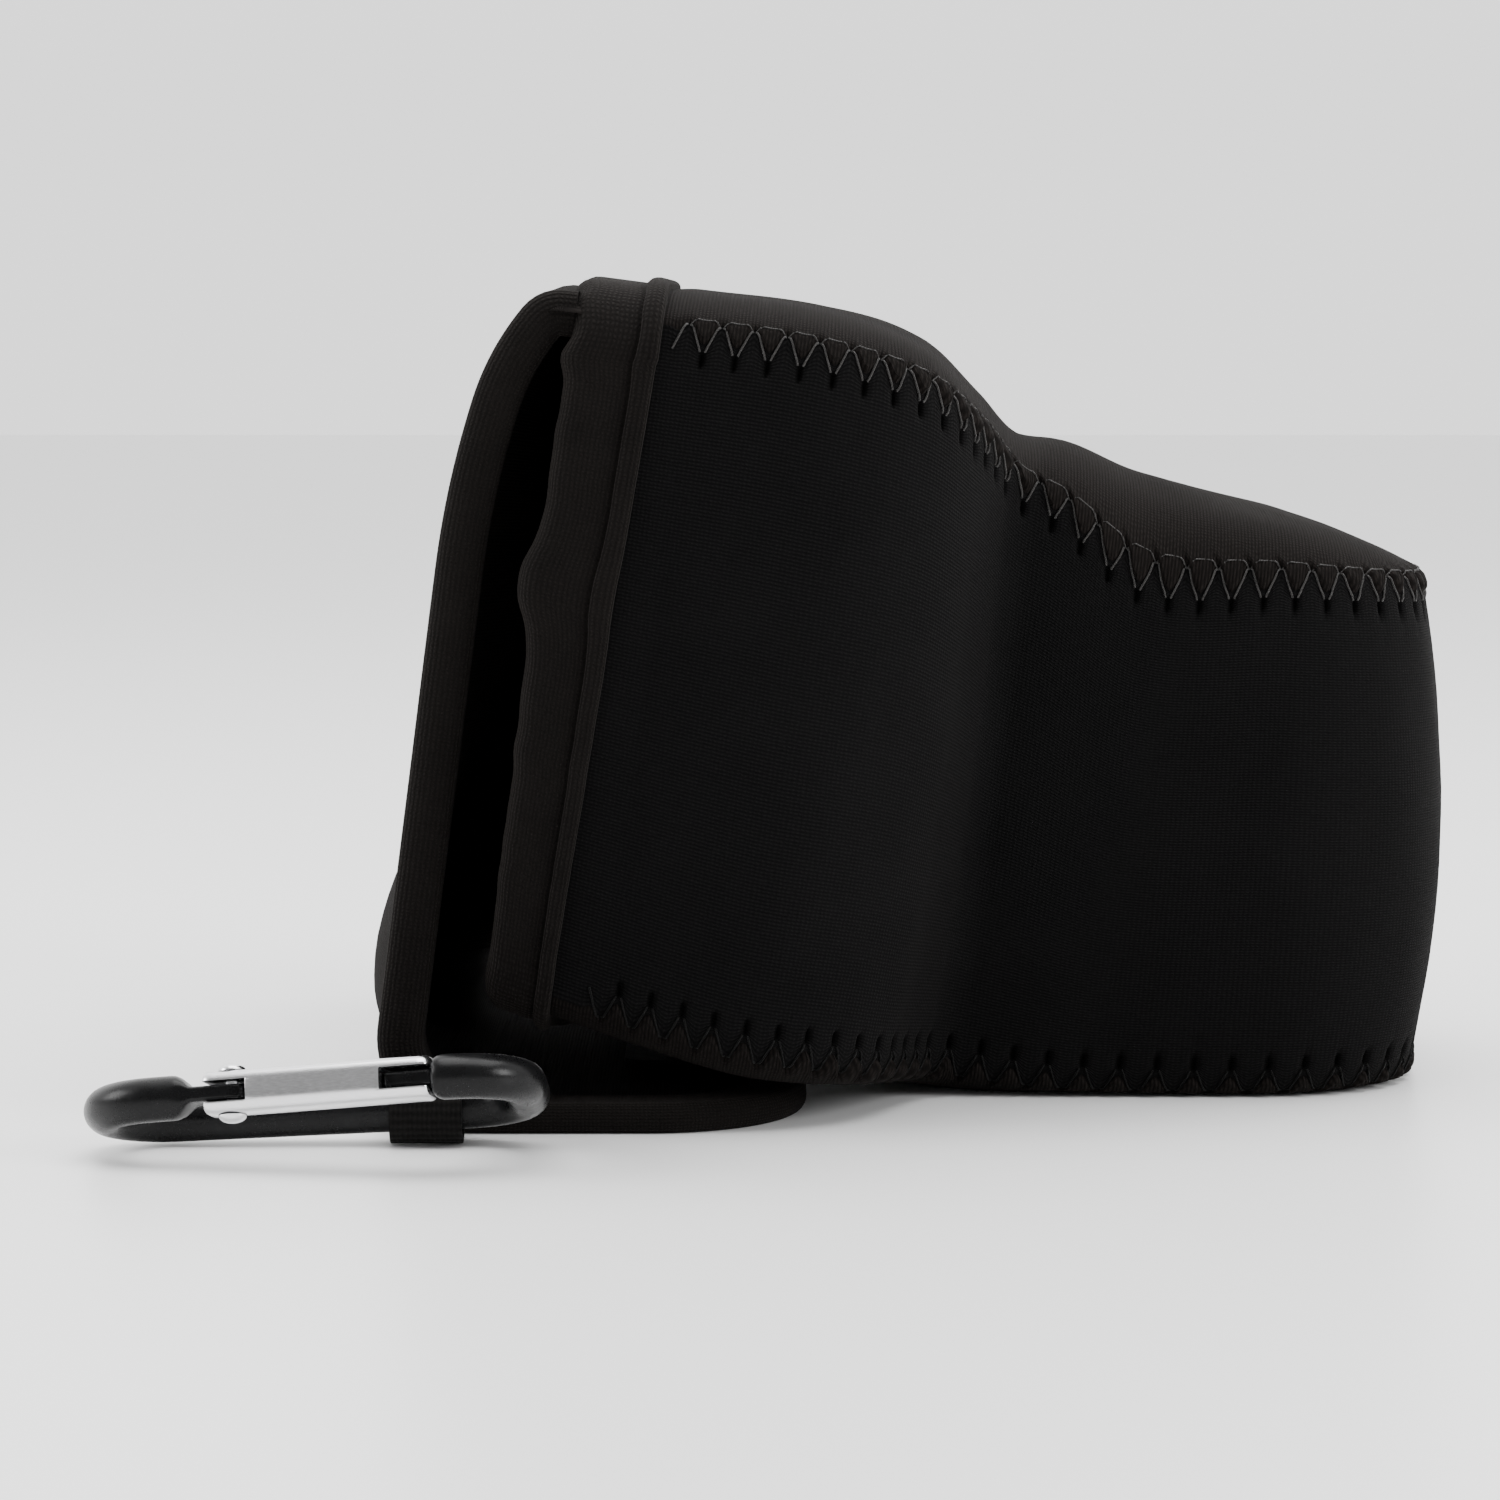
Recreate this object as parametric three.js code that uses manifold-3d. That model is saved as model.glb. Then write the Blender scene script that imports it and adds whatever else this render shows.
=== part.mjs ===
// Soft neoprene case for a camera with its lens on, closed by a flap at the back,
// with a small spring-gate carabiner in a webbing loop at the flap's lower corner.
// Millimetres. +Z is up, X runs across the case, the lens snout points along -Y and the
// flap hangs on the +Y side. The case is modelled as it rests: its rear stands on the
// folded-in tongue of the flap, so the pouch leans forward by caseLean.
import * as THREE from 'three';
import { mergeVertices } from 'three/addons/utils/BufferGeometryUtils.js';
import Module from 'manifold-3d';

const wasm = await Module();
wasm.setup();

// Pouch, in its own upright frame before the lean
const caseLean = THREE.MathUtils.degToRad(7.5);
const wall = 3.6;
const seamGap = 0.3;
const bodyHalfWidth = 60.5;
const bodySide = 31.6;
const shoulderRadius = 24;
const shoulderTurn = THREE.MathUtils.degToRad(65);
const creaseRadius = 6;
const snoutHalfWidth = 32.5;
const snoutSide = 33.4;
const snoutCornerRadius = 20;
const snoutCornerTurn = THREE.MathUtils.degToRad(78);
const snoutFoot = 8;
const mouthBulge = 2.4;
const sideBulge = 4;
const creaseBulge = 1;
const snoutBulge = 3.6;
const tipBulge = 3;
const rollOver = 24;
const planStep = 5.5;

// Heights of the upper seam along the pouch, and of the panel's crown above it
const rearSeamHeight = 99.4;
const bodySeamHeight = 99.2;
const frontSeamHeight = 96.6;
const shoulderSeamHeight = 91.5;
const creaseSeamHeight = 86;
const creaseFootHeight = 83.2;
const snoutDipHeight = 75.6;
const snoutCornerHeight = 77.4;
const snoutTipHeight = 78.8;
const rearCrown = 4.5;
const bodyCrown = 5;
const shoulderCrown = 4.2;
const creaseCrown = 4.8;
const snoutCrown = 11.6;
const snoutCornerCrown = 7.6;
const tipCrown = 4.2;

// Heights of the lower seam
const rearSoleHeight = 16.6;
const rearSoleRise = 2.6;
const bodySoleHeight = 10.4;
const shoulderSoleHeight = 9.4;
const creaseSoleHeight = 7.4;
const snoutSoleRise = 1.5;
const soleCrown = 3.75;

// How a panel rolls up from its seam, and how its rows fan out round the snout and corner
const rollSteepness = 2.2;
const rollFullness = 0.6;
const fanPower = 2;
const shoulderSlant = 12;

// Knit binding on the mouth's edge
const mouthEdge = 35.6;
const hingeSetback = 0.6;
const bindingSkin = 1.2;
const bindingSlotDepth = 3.2;
const bindingWidth = 8.8;
const bindingFootScale = 0.72;
const ridgeWidth = 2.8;
const ridgeRise = 0.9;
const tapeRound = 0.8;
const tapeShoulder = 0.35;

// Flap, its bound edges and the way it falls
const flapInset = 0.5;
const flapHalfWidth = bodyHalfWidth - flapInset;
const flapSheet = 3;
const flapEdge = 5.8;
const flapSkin = 1.1;
const flapBindingWidth = 9;
const flapSlotDepth = 2.5;
const flapDrop = 1.8;
const flapTopRadius = 6.2;
const flapTopTurn = THREE.MathUtils.degToRad(50);
const flapKneeRadius = 34;
const flapKnee = THREE.MathUtils.degToRad(72);
const flapSweepRadius = 120;
const flapHang = THREE.MathUtils.degToRad(82.5);
const flapBendRadius = 12;
const flapBelly = 6;
const flapUpperBelly = -10;
const upperBellyAt = 42;
const bellyFade = 1.3;
const flapStep = 5;

// Tongue that folds in under the pouch
const tongueLength = 42.6;
const tongueCorner = 20;
const tongueSheet = 2.2;
const tongueEdge = 3.8;
const tongueSkin = 0.6;
const tongueBindingWidth = 8;
const tongueSlotDepth = 1.7;
const tongueStep = 6;
const foldGap = 0.3;

// Hook-and-loop patches
const patchHalfWidth = 26;
const patchLength = 16;
const patchThickness = 0.7;
const patchStart = 18.4;
const patchCorner = 3;

// Carabiner
const barRadius = 2.75;
const barSides = 10;
const barStep = 3.4;
const spineLength = 36;
const noseBowRadius = 8;
const hingeBowRadius = 8;
const shoulderRun = 4;
const gateLength = 28.1;
const gateThickness = 5.3;
const gateWidth = 6;
const gateCorner = 1.2;
const gateSlope = THREE.MathUtils.degToRad(10.7);
const neckLength = 3.4;
const bladeThickness = 2;
const bladeWidth = 4.4;
const bladeRoot = 1.4;
const bladeGap = 0.3;
const noseReach = 5.6;
const noseWeb = 1.2;
const noseStep = 0.8;
const noseGap = 0.5;
const rivetInset = 3;
const rivetRadius = 1;
const rivetEase = 0.12;
const rivetHeadRadius = 1.75;
const rivetHeadHeight = 0.8;
const pinSides = 20;
const springRadius = 0.95;
const springWire = 0.42;
const springWireSides = 5;
const springTurns = 6;
const springPitch = 1.15;
const springSteps = 8;
const cutOver = 1;

// Webbing loop that carries the carabiner
const loopWidth = 9;
const loopWebbing = 1.1;
const loopEase = 0.55;
const loopTail = 1.4;
const loopSetback = 0.6;
const loopNeckGap = 0.3;
const loopFloorGap = 0.1;
const loopSides = 20;
const carabinerRoll = THREE.MathUtils.degToRad(19);
const carabinerPitch = THREE.MathUtils.degToRad(2.7);
const tackLength = 6.4;
const tackWidth = 0.7;
const tackRise = 0.45;

// A curve z(y) through a few heights, smooth from one to the next, and straight over
// its last stretch where that is asked for
function smoothLine(stations, straightEnd = false) {
  const count = stations.length;
  const slope = (i) => {
    if (straightEnd && i === count - 2) return slope(count - 1);
    const a = stations[Math.max(i - 1, 0)];
    const b = stations[Math.min(i + 1, count - 1)];
    return (b[1] - a[1]) / (b[0] - a[0]);
  };
  return (at) => {
    let i = 0;
    while (i < count - 2 && at > stations[i + 1][0]) i++;
    const [from, low] = stations[i];
    const [to, high] = stations[i + 1];
    const span = to - from;
    const t = THREE.MathUtils.clamp((at - from) / span, 0, 1);
    const rise = t * t * (3 - 2 * t);
    const leave = t * (1 - t) * (1 - t) * span * slope(i);
    const arrive = -t * t * (1 - t) * span * slope(i + 1);
    return low + (high - low) * rise + leave + arrive;
  };
}

// A flat path of straight runs and arcs, followed by its length
class Route {
  constructor(start, heading) {
    this.pieces = [];
    this.length = 0;
    this.end = start.clone();
    this.heading = heading;
  }

  add(length, turn) {
    this.pieces.push({ from: this.length, length, turn, start: this.end, heading: this.heading });
    this.length += length;
    this.end = this.at(this.length).point;
    this.heading += turn;
    return this;
  }

  straight(length) {
    return this.add(length, 0);
  }

  arc(radius, turn) {
    return this.add(radius * Math.abs(turn), turn);
  }

  at(distance) {
    const last = this.pieces[this.pieces.length - 1];
    const piece = this.pieces.find((p) => distance <= p.from + p.length) ?? last;
    const run = distance - piece.from;
    const turned = piece.length > 0 ? (piece.turn * run) / piece.length : 0;
    const heading = piece.heading + turned;
    const point = piece.start.clone();
    if (Math.abs(turned) < 1e-9) {
      point.x += run * Math.cos(heading);
      point.y += run * Math.sin(heading);
    } else {
      const radius = run / turned;
      point.x += radius * (Math.sin(heading) - Math.sin(piece.heading));
      point.y -= radius * (Math.cos(heading) - Math.cos(piece.heading));
    }
    return { point, heading };
  }
}

// Even steps along a route, with every arc's and run's end among them
function stepsAlong(route, from, to, step) {
  const stops = [from, to];
  for (const piece of route.pieces) {
    if (piece.from > from && piece.from < to) stops.push(piece.from);
  }
  stops.sort((a, b) => a - b);
  const distances = [from];
  for (let i = 1; i < stops.length; i++) {
    const gap = stops[i] - stops[i - 1];
    const parts = Math.max(1, Math.round(gap / step));
    for (let k = 1; k <= parts; k++) distances.push(stops[i - 1] + (gap * k) / parts);
  }
  return distances;
}

// One closed body from points and triangles: doubles merged, slivers dropped, faces out
function closedBody(points, triangles) {
  const loose = new THREE.BufferGeometry();
  loose.setAttribute('position', new THREE.Float32BufferAttribute(points, 3));
  loose.setIndex(triangles);
  const merged = mergeVertices(loose, 1e-3);
  const index = merged.getIndex().array;
  const kept = [];
  for (let i = 0; i < index.length; i += 3) {
    const [a, b, c] = [index[i], index[i + 1], index[i + 2]];
    if (a !== b && b !== c && c !== a) kept.push(a, b, c);
  }
  merged.setIndex(kept);
  if (signedVolume(merged) < 0) {
    for (let i = 0; i < kept.length; i += 3) [kept[i], kept[i + 1]] = [kept[i + 1], kept[i]];
    merged.setIndex(kept);
  }
  return merged;
}

function signedVolume(geometry) {
  const position = geometry.getAttribute('position');
  const index = geometry.getIndex().array;
  const [a, b, c] = [new THREE.Vector3(), new THREE.Vector3(), new THREE.Vector3()];
  let volume = 0;
  for (let i = 0; i < index.length; i += 3) {
    a.fromBufferAttribute(position, index[i]);
    b.fromBufferAttribute(position, index[i + 1]);
    c.fromBufferAttribute(position, index[i + 2]);
    volume += a.dot(b.cross(c)) / 6;
  }
  return volume;
}

// A thick sheet from its two faces. A folded sheet meets itself along its last column.
function thickSheet(rows, columns, faceOut, faceIn, folded = false) {
  const points = [];
  const place = (side, i, j) => (side * rows.length + i) * columns.length + j;
  for (const face of [faceOut, faceIn]) {
    for (const row of rows) {
      for (const column of columns) points.push(...face(row, column));
    }
  }
  const triangles = [];
  const quad = (a, b, c, d) => triangles.push(a, b, c, a, c, d);
  const lastRow = rows.length - 1;
  const lastColumn = columns.length - 1;
  for (let i = 0; i < lastRow; i++) {
    for (let j = 0; j < lastColumn; j++) {
      quad(place(0, i, j), place(0, i + 1, j), place(0, i + 1, j + 1), place(0, i, j + 1));
      quad(place(1, i, j), place(1, i, j + 1), place(1, i + 1, j + 1), place(1, i + 1, j));
    }
    quad(place(0, i, 0), place(1, i, 0), place(1, i + 1, 0), place(0, i + 1, 0));
    if (!folded) {
      const j = lastColumn;
      quad(place(0, i, j), place(0, i + 1, j), place(1, i + 1, j), place(1, i, j));
    }
  }
  for (let j = 0; j < lastColumn; j++) {
    quad(place(0, 0, j), place(0, 0, j + 1), place(1, 0, j + 1), place(1, 0, j));
    const i = lastRow;
    quad(place(0, i, j), place(1, i, j), place(1, i, j + 1), place(0, i, j + 1));
  }
  return closedBody(points, triangles);
}

// A section of flat points carried along frames, capped at both ends
function sweptBody(section, frames) {
  const points = [];
  for (const frame of frames) {
    for (const p of section) {
      const at = frame.origin.clone().addScaledVector(frame.across, p.x).addScaledVector(frame.along, p.y);
      points.push(at.x, at.y, at.z);
    }
  }
  const sides = section.length;
  const triangles = [];
  for (let i = 0; i < frames.length - 1; i++) {
    for (let k = 0; k < sides; k++) {
      const a = i * sides + k;
      const b = i * sides + ((k + 1) % sides);
      triangles.push(a, b, b + sides, a, b + sides, a + sides);
    }
  }
  const last = (frames.length - 1) * sides;
  for (const [a, b, c] of capOf(section)) {
    triangles.push(a, c, b);
    triangles.push(last + a, last + b, last + c);
  }
  return closedBody(points, triangles);
}

// Cap triangles that turn the way the section's own points run
function capOf(section) {
  const faces = THREE.ShapeUtils.triangulateShape(section, []);
  const turn = (p, q, r) => (q.x - p.x) * (r.y - p.y) - (q.y - p.y) * (r.x - p.x);
  const sectionTurn = THREE.ShapeUtils.area(section);
  return faces.map(([a, b, c]) => {
    const same = turn(section[a], section[b], section[c]) * sectionTurn > 0;
    return same ? [a, b, c] : [a, c, b];
  });
}

// A U of knit tape round an edge: open towards +y, its folded back at y = 0
function tapeSection(slotHalf, skin, slotDepth, width, ridge) {
  const half = slotHalf + skin;
  const round = half * tapeRound;
  const outline = [
    [slotHalf, width + (ridge ? ridgeWidth : 0)],
    [half, width],
    [half, round],
    [round, round * tapeShoulder],
    [half * tapeShoulder, 0],
    [-half * tapeShoulder, 0],
    [-round, round * tapeShoulder],
    [-half, round],
    [-half, width],
    [-slotHalf, width],
    [-slotHalf, slotDepth],
    [slotHalf, slotDepth],
  ];
  if (ridge) {
    outline.splice(1, 0, [half + ridgeRise * 0.6, width + ridgeWidth]);
    outline.splice(2, 0, [half + ridgeRise, width + ridgeWidth * 0.6]);
    outline.splice(3, 0, [half + ridgeRise, width + ridgeWidth * 0.25]);
  }
  return outline.map(([x, y]) => new THREE.Vector2(x, y));
}

// Manifold solid of a closed geometry, and back
function toSolid(geometry) {
  const bare = geometry.clone();
  bare.deleteAttribute('normal');
  bare.deleteAttribute('uv');
  const merged = mergeVertices(bare, 1e-4);
  const mesh = new wasm.Mesh({
    numProp: 3,
    vertProperties: new Float32Array(merged.getAttribute('position').array),
    triVerts: new Uint32Array(merged.getIndex().array),
  });
  return new wasm.Manifold(mesh);
}

function fromSolid(solid) {
  const mesh = solid.getMesh();
  const geometry = new THREE.BufferGeometry();
  geometry.setAttribute('position', new THREE.Float32BufferAttribute(mesh.vertProperties, 3));
  geometry.setIndex([...mesh.triVerts]);
  return geometry;
}

// Plan of the pouch: one side from the mouth's corner round to the middle of the snout
const hingeEdge = mouthEdge + hingeSetback;
const plan = new Route(new THREE.Vector2(bodyHalfWidth, hingeEdge), -Math.PI / 2);
plan.straight(bodySide);
plan.arc(shoulderRadius, -shoulderTurn);
const curvedAcross = (shoulderRadius + creaseRadius) * (1 - Math.cos(shoulderTurn));
plan.straight((bodyHalfWidth - snoutHalfWidth - curvedAcross) / Math.sin(shoulderTurn));
const creaseAt = plan.length + (creaseRadius * shoulderTurn) / 2;
plan.arc(creaseRadius, shoulderTurn);
plan.straight(snoutSide);
const snoutCornerAt = plan.length;
plan.arc(snoutCornerRadius, -snoutCornerTurn);
const noseTurn = Math.PI / 2 - snoutCornerTurn;
const noseHalf = snoutHalfWidth - snoutCornerRadius * (1 - Math.cos(snoutCornerTurn));
plan.arc(noseHalf / Math.sin(noseTurn), -noseTurn);
const halfPlan = plan.length;
const tipEdge = plan.end.y;
const creaseEdge = plan.at(creaseAt).point.y;
const cornerEdge = plan.at(snoutCornerAt).point.y;

// The wall starts inside the mouth's binding
const wallStart = hingeEdge - (mouthEdge - bindingSlotDepth - seamGap);

// The floor seen from the leaning pouch
const floorUnder = (y) => -y * Math.tan(caseLean);

const bodyMiddle = hingeEdge - bodySide;
const tapeEdge = mouthEdge - bindingWidth - ridgeWidth;
const shoulderMiddle = (bodyMiddle + creaseEdge) / 2;
const snoutMiddle = (creaseEdge + cornerEdge) / 2;

const upperSeam = smoothLine([
  [tipEdge, snoutTipHeight],
  [cornerEdge, snoutCornerHeight],
  [snoutMiddle, snoutDipHeight],
  [creaseEdge - creaseRadius, creaseFootHeight],
  [creaseEdge, creaseSeamHeight],
  [creaseEdge + creaseRadius, shoulderSeamHeight],
  [shoulderMiddle, frontSeamHeight],
  [bodyMiddle, bodySeamHeight],
  [tapeEdge, rearSeamHeight],
  [hingeEdge, rearSeamHeight],
], true);

const upperCrown = smoothLine([
  [tipEdge, tipCrown],
  [cornerEdge, snoutCornerCrown],
  [snoutMiddle, snoutCrown],
  [creaseEdge, creaseCrown],
  [creaseEdge + creaseRadius, shoulderCrown],
  [shoulderMiddle, bodyCrown],
  [hingeEdge, rearCrown],
]);

const lowerSeam = smoothLine([
  [tipEdge, floorUnder(tipEdge) + snoutSoleRise],
  [snoutMiddle, floorUnder(snoutMiddle) + snoutSoleRise],
  [creaseEdge, creaseSoleHeight],
  [shoulderMiddle, shoulderSoleHeight],
  [bodyMiddle, bodySoleHeight],
  [tapeEdge, rearSoleHeight - rearSoleRise],
  [hingeEdge, rearSoleHeight],
], true);

const soleCrownAt = smoothLine([
  [snoutMiddle, snoutSoleRise - seamGap],
  [creaseEdge, soleCrown],
  [hingeEdge, soleCrown],
]);

// The snout stands upright on its foot: it reaches forward along the floor, most at the
// tip and not at all at the height of the upper seam
function footed(x, y, z) {
  const along = THREE.MathUtils.smoothstep(creaseEdge - y, 0, creaseEdge - tipEdge);
  const height = (z - floorUnder(y)) / (snoutTipHeight - floorUnder(tipEdge));
  const reach = snoutFoot * along * Math.max(0, 1 - height);
  return [x, y - reach * Math.cos(caseLean), z + reach * Math.sin(caseLean)];
}

const bulgeAt = smoothLine([
  [wallStart + bindingWidth + ridgeWidth, mouthBulge],
  [bodySide, sideBulge],
  [creaseAt, creaseBulge],
  [snoutCornerAt, snoutBulge],
  [halfPlan, tipBulge],
]);

// A point of the plan at a signed distance: from -halfPlan at the mouth's left corner,
// through 0 at the snout's tip, to +halfPlan at the right corner
function rimAt(signed) {
  const side = signed < 0 ? -1 : 1;
  const distance = halfPlan - Math.abs(signed);
  const { point, heading } = plan.at(distance);
  const outward = new THREE.Vector2(-Math.sin(heading), Math.cos(heading));
  return {
    distance,
    point: new THREE.Vector2(point.x * side, point.y),
    outward: new THREE.Vector2(outward.x * side, outward.y),
  };
}

// The wall and both panels share their stops, so that their seam lines match
function bothSides(from) {
  const stops = stepsAlong(plan, wallStart, halfPlan, planStep);
  if (from < wallStart) stops.unshift(from);
  const oneSide = stops.map((d) => d - halfPlan);
  const otherSide = oneSide.slice(0, -1).map((d) => -d).reverse();
  return [...oneSide, ...otherSide];
}

const evenly = (count) => Array.from({ length: count + 1 }, (_, i) => i / count);

// The wall that runs round the pouch from one edge of the mouth to the other
function wallPoint(signed, up, depth) {
  const { distance, point, outward } = rimAt(signed);
  const swell = bulgeAt(distance) * (1 - (2 * up - 1) ** 2);
  const seamY = point.y - outward.y * depth;
  const low = lowerSeam(seamY);
  const high = upperSeam(seamY);
  const at = point.clone().addScaledVector(outward, swell - depth);
  return footed(at.x, at.y, low + (high - low) * up);
}

function sideBand() {
  const outside = (signed, up) => wallPoint(signed, up, 0);
  const inside = (signed, up) => wallPoint(signed, up, wall);
  return thickSheet(bothSides(wallStart), evenly(7), outside, inside);
}

// Distance from a point of a panel to the pouch's seam line, at a given depth inside it.
// The line runs on straight behind the mouth, so that the panels stay open there.
const rimLines = new Map();

function rimLine(depth) {
  if (!rimLines.has(depth)) {
    const line = [];
    for (let d = -bodyHalfWidth; d <= halfPlan; d += 1) {
      const { point, heading } = plan.at(Math.max(d, 0));
      const out = new THREE.Vector2(-Math.sin(heading), Math.cos(heading));
      const back = Math.max(-d, 0);
      line.push(new THREE.Vector2(point.x - out.x * depth, point.y - out.y * depth + back));
    }
    rimLines.set(depth, line);
  }
  return rimLines.get(depth);
}

function rimDistance(x, y, depth) {
  const line = rimLine(depth);
  const spot = new THREE.Vector2(Math.abs(x), y);
  let least = Infinity;
  for (let i = 0; i < line.length - 1; i++) {
    const a = line[i];
    const run = line[i + 1].clone().sub(a);
    const t = THREE.MathUtils.clamp(spot.clone().sub(a).dot(run) / run.lengthSq(), 0, 1);
    least = Math.min(least, spot.distanceTo(a.clone().addScaledVector(run, t)));
  }
  return least;
}

// How far a panel has rolled up from its seam, 0 on the seam and 1 on its flat
function rollUp(distance, reach) {
  const t = Math.min(distance / reach, 1);
  return (1 - (1 - t) ** rollSteepness) ** rollFullness;
}

// A panel's point: row runs round the seam, column from the seam to the middle line
function panelPlan(signed, column, depth) {
  const { distance, point, outward } = rimAt(signed);
  const rim = point.clone().addScaledVector(outward, -depth);
  const share = Math.max(0, distance - wallStart) / (halfPlan - wallStart);
  const fan = snoutCornerRadius * share ** fanPower;
  const slant = shoulderSlant * Math.sin(Math.PI * share);
  const middle = new THREE.Vector2(0, point.y + fan + slant);
  return rim.lerp(middle, Math.sin((column * Math.PI) / 2));
}

const panelColumns = [0, 0.025, 0.06, 0.11, 0.18, 0.28, 0.42, 0.6, 0.8, 1];

function topPoint(signed, column, depth) {
  const at = panelPlan(signed, column, depth);
  const rolled = column > 0 ? rollUp(rimDistance(at.x, at.y, depth), rollOver - depth) : 0;
  const rise = (upperCrown(at.y) - depth) * rolled;
  return footed(at.x, at.y, upperSeam(at.y) + seamGap + rise);
}

function topPanel() {
  const outside = (signed, column) => topPoint(signed, column, 0);
  const inside = (signed, column) => topPoint(signed, column, wall);
  return thickSheet(bothSides(seamGap), panelColumns, outside, inside, true);
}

function solePoint(signed, column, depth) {
  const at = panelPlan(signed, column, depth);
  const rolled = column > 0 ? rollUp(rimDistance(at.x, at.y, depth), rollOver / 2 - depth) : 0;
  const drop = (soleCrownAt(at.y) - depth) * rolled;
  const free = lowerSeam(at.y) - seamGap - drop;
  return footed(at.x, at.y, depth > 0 ? free : Math.max(free, floorUnder(at.y)));
}

function bottomPanel() {
  const outside = (signed, column) => solePoint(signed, column, 0);
  const inside = (signed, column) => solePoint(signed, column, wall);
  return thickSheet(bothSides(wallStart), panelColumns, outside, inside, true);
}

// The knit tape on the mouth, and the way it runs forward along each seam's end
const mouthTape = tapeSection(wall / 2 + seamGap, bindingSkin, bindingSlotDepth, bindingWidth, true);
const soleFall = rearSoleRise / (hingeEdge - tapeEdge);

function uprightBinding(side) {
  const frames = evenly(14).map((up) => {
    const [x, y, z] = wallPoint(side * (halfPlan - wallStart), up, wall / 2);
    const fallAhead = soleFall * (1 - up);
    const scale = bindingFootScale + (1 - bindingFootScale) * up;
    return {
      origin: new THREE.Vector3(x, mouthEdge, z + (mouthEdge - y) * fallAhead),
      across: new THREE.Vector3(side, 0, 0),
      along: new THREE.Vector3(0, -1, -fallAhead).multiplyScalar(scale),
    };
  });
  return sweptBody(mouthTape, frames);
}

// The tape on the mouth's lower edge, following the bottom panel's end from side to side
function lowerBinding() {
  const row = wallStart - halfPlan;
  const along = new THREE.Vector3(0, -1, -soleFall);
  const half = panelColumns.slice(3).map((column) => {
    const outer = new THREE.Vector3(...solePoint(row, column, 0));
    const inner = new THREE.Vector3(...solePoint(row, column, wall));
    const across = outer.clone().sub(inner).divideScalar(wall);
    const origin = outer.clone().lerp(inner, 0.5);
    return { origin: origin.addScaledVector(along, origin.y - mouthEdge), across, along };
  });
  const mirrored = half.slice(0, -1).map(({ origin, across }) => ({
    origin: origin.clone().setX(-origin.x),
    across: across.clone().setX(-across.x),
    along,
  }));
  return sweptBody(mouthTape, [...half, ...mirrored.reverse()]);
}

// A point of the leaning pouch in the resting frame
function leaned(y, z) {
  const point = new THREE.Vector2(y, z);
  return point.rotateAround(new THREE.Vector2(), caseLean);
}

// The flap's outer face, seen from the side: u is Y and v is Z in the resting frame
const hinge = leaned(hingeEdge, upperSeam(hingeEdge) + seamGap + rearCrown - flapDrop);
const fall = new Route(hinge, caseLean);
fall.straight(foldGap);
fall.arc(flapTopRadius, -(flapTopTurn + caseLean));
fall.arc(flapKneeRadius, -(flapKnee - flapTopTurn));
fall.arc(flapSweepRadius, -(flapHang - flapKnee));
const bendDrop = flapBendRadius * (1 + Math.cos(flapHang));
fall.straight((fall.end.y - bendDrop) / Math.sin(flapHang));
const bendAt = fall.length;
fall.arc(flapBendRadius, -(Math.PI - flapHang));
const fallLength = fall.length;
const tongueFold = fall.end.clone();

function fallPoint(distance, x, depth, belly = 0) {
  const { point, heading } = fall.at(distance);
  const inward = new THREE.Vector2(Math.sin(heading), -Math.cos(heading));
  const shift = depth - belly;
  return new THREE.Vector3(x, point.x + inward.x * shift, point.y + inward.y * shift);
}

// Between its bound edges the flap sags into the mouth, and bellies out above the fold
const bellyAt = smoothLine([
  [0, 0],
  [upperBellyAt, flapUpperBelly],
  [bendAt - flapEdge, flapBelly],
  [fallLength, 0],
]);

const flapPanelHalf = flapHalfWidth - flapSlotDepth - foldGap;

function flapPanel() {
  const cover = (flapEdge - flapSheet) / 2;
  const face = (depth) => (distance, share) => {
    const x = flapPanelHalf * share;
    const free = Math.min(1, Math.abs(x) / (flapHalfWidth - flapBindingWidth - foldGap));
    const belly = bellyAt(distance) * (1 - free * free) ** bellyFade;
    return fallPoint(distance, x, depth, belly).toArray();
  };
  const shares = evenly(12).map((t) => Math.sin((t - 0.5) * Math.PI));
  const rows = stepsAlong(fall, 0, fallLength, flapStep);
  return thickSheet(rows, shares, face(cover), face(cover + flapSheet));
}

function flapBinding(side) {
  const slotHalf = flapEdge / 2 - flapSkin;
  const section = tapeSection(slotHalf, flapSkin, flapSlotDepth, flapBindingWidth, false);
  const frames = stepsAlong(fall, 0, fallLength, flapStep).map((distance) => {
    const outer = fallPoint(distance, side * flapHalfWidth, 0);
    const inner = fallPoint(distance, side * flapHalfWidth, flapEdge);
    return {
      origin: outer.clone().lerp(inner, 0.5),
      across: outer.clone().sub(inner).normalize(),
      along: new THREE.Vector3(-side, 0, 0),
    };
  });
  return sweptBody(section, frames);
}

// The tongue lies flat on the floor, from the fold to its round-cornered end
function tongueOutline(inset) {
  const half = flapHalfWidth - inset;
  const start = new THREE.Vector2(-half, tongueFold.x - foldGap);
  const outline = new Route(start, -Math.PI / 2);
  outline.straight(tongueLength - tongueCorner);
  outline.arc(tongueCorner - inset, Math.PI / 2);
  outline.straight(2 * (half - (tongueCorner - inset)));
  outline.arc(tongueCorner - inset, Math.PI / 2);
  outline.straight(tongueLength - tongueCorner);
  return outline;
}

const tongueMiddle = tongueEdge / 2;

function tonguePanel() {
  const outline = tongueOutline(tongueSlotDepth + foldGap);
  const stops = stepsAlong(outline, 0, outline.length, tongueStep);
  const corners = stops.map((d) => outline.at(d).point);
  const options = { depth: tongueSheet, bevelEnabled: false };
  const sheet = new THREE.ExtrudeGeometry(new THREE.Shape(corners), options);
  return sheet.translate(0, 0, tongueMiddle - tongueSheet / 2);
}

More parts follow.
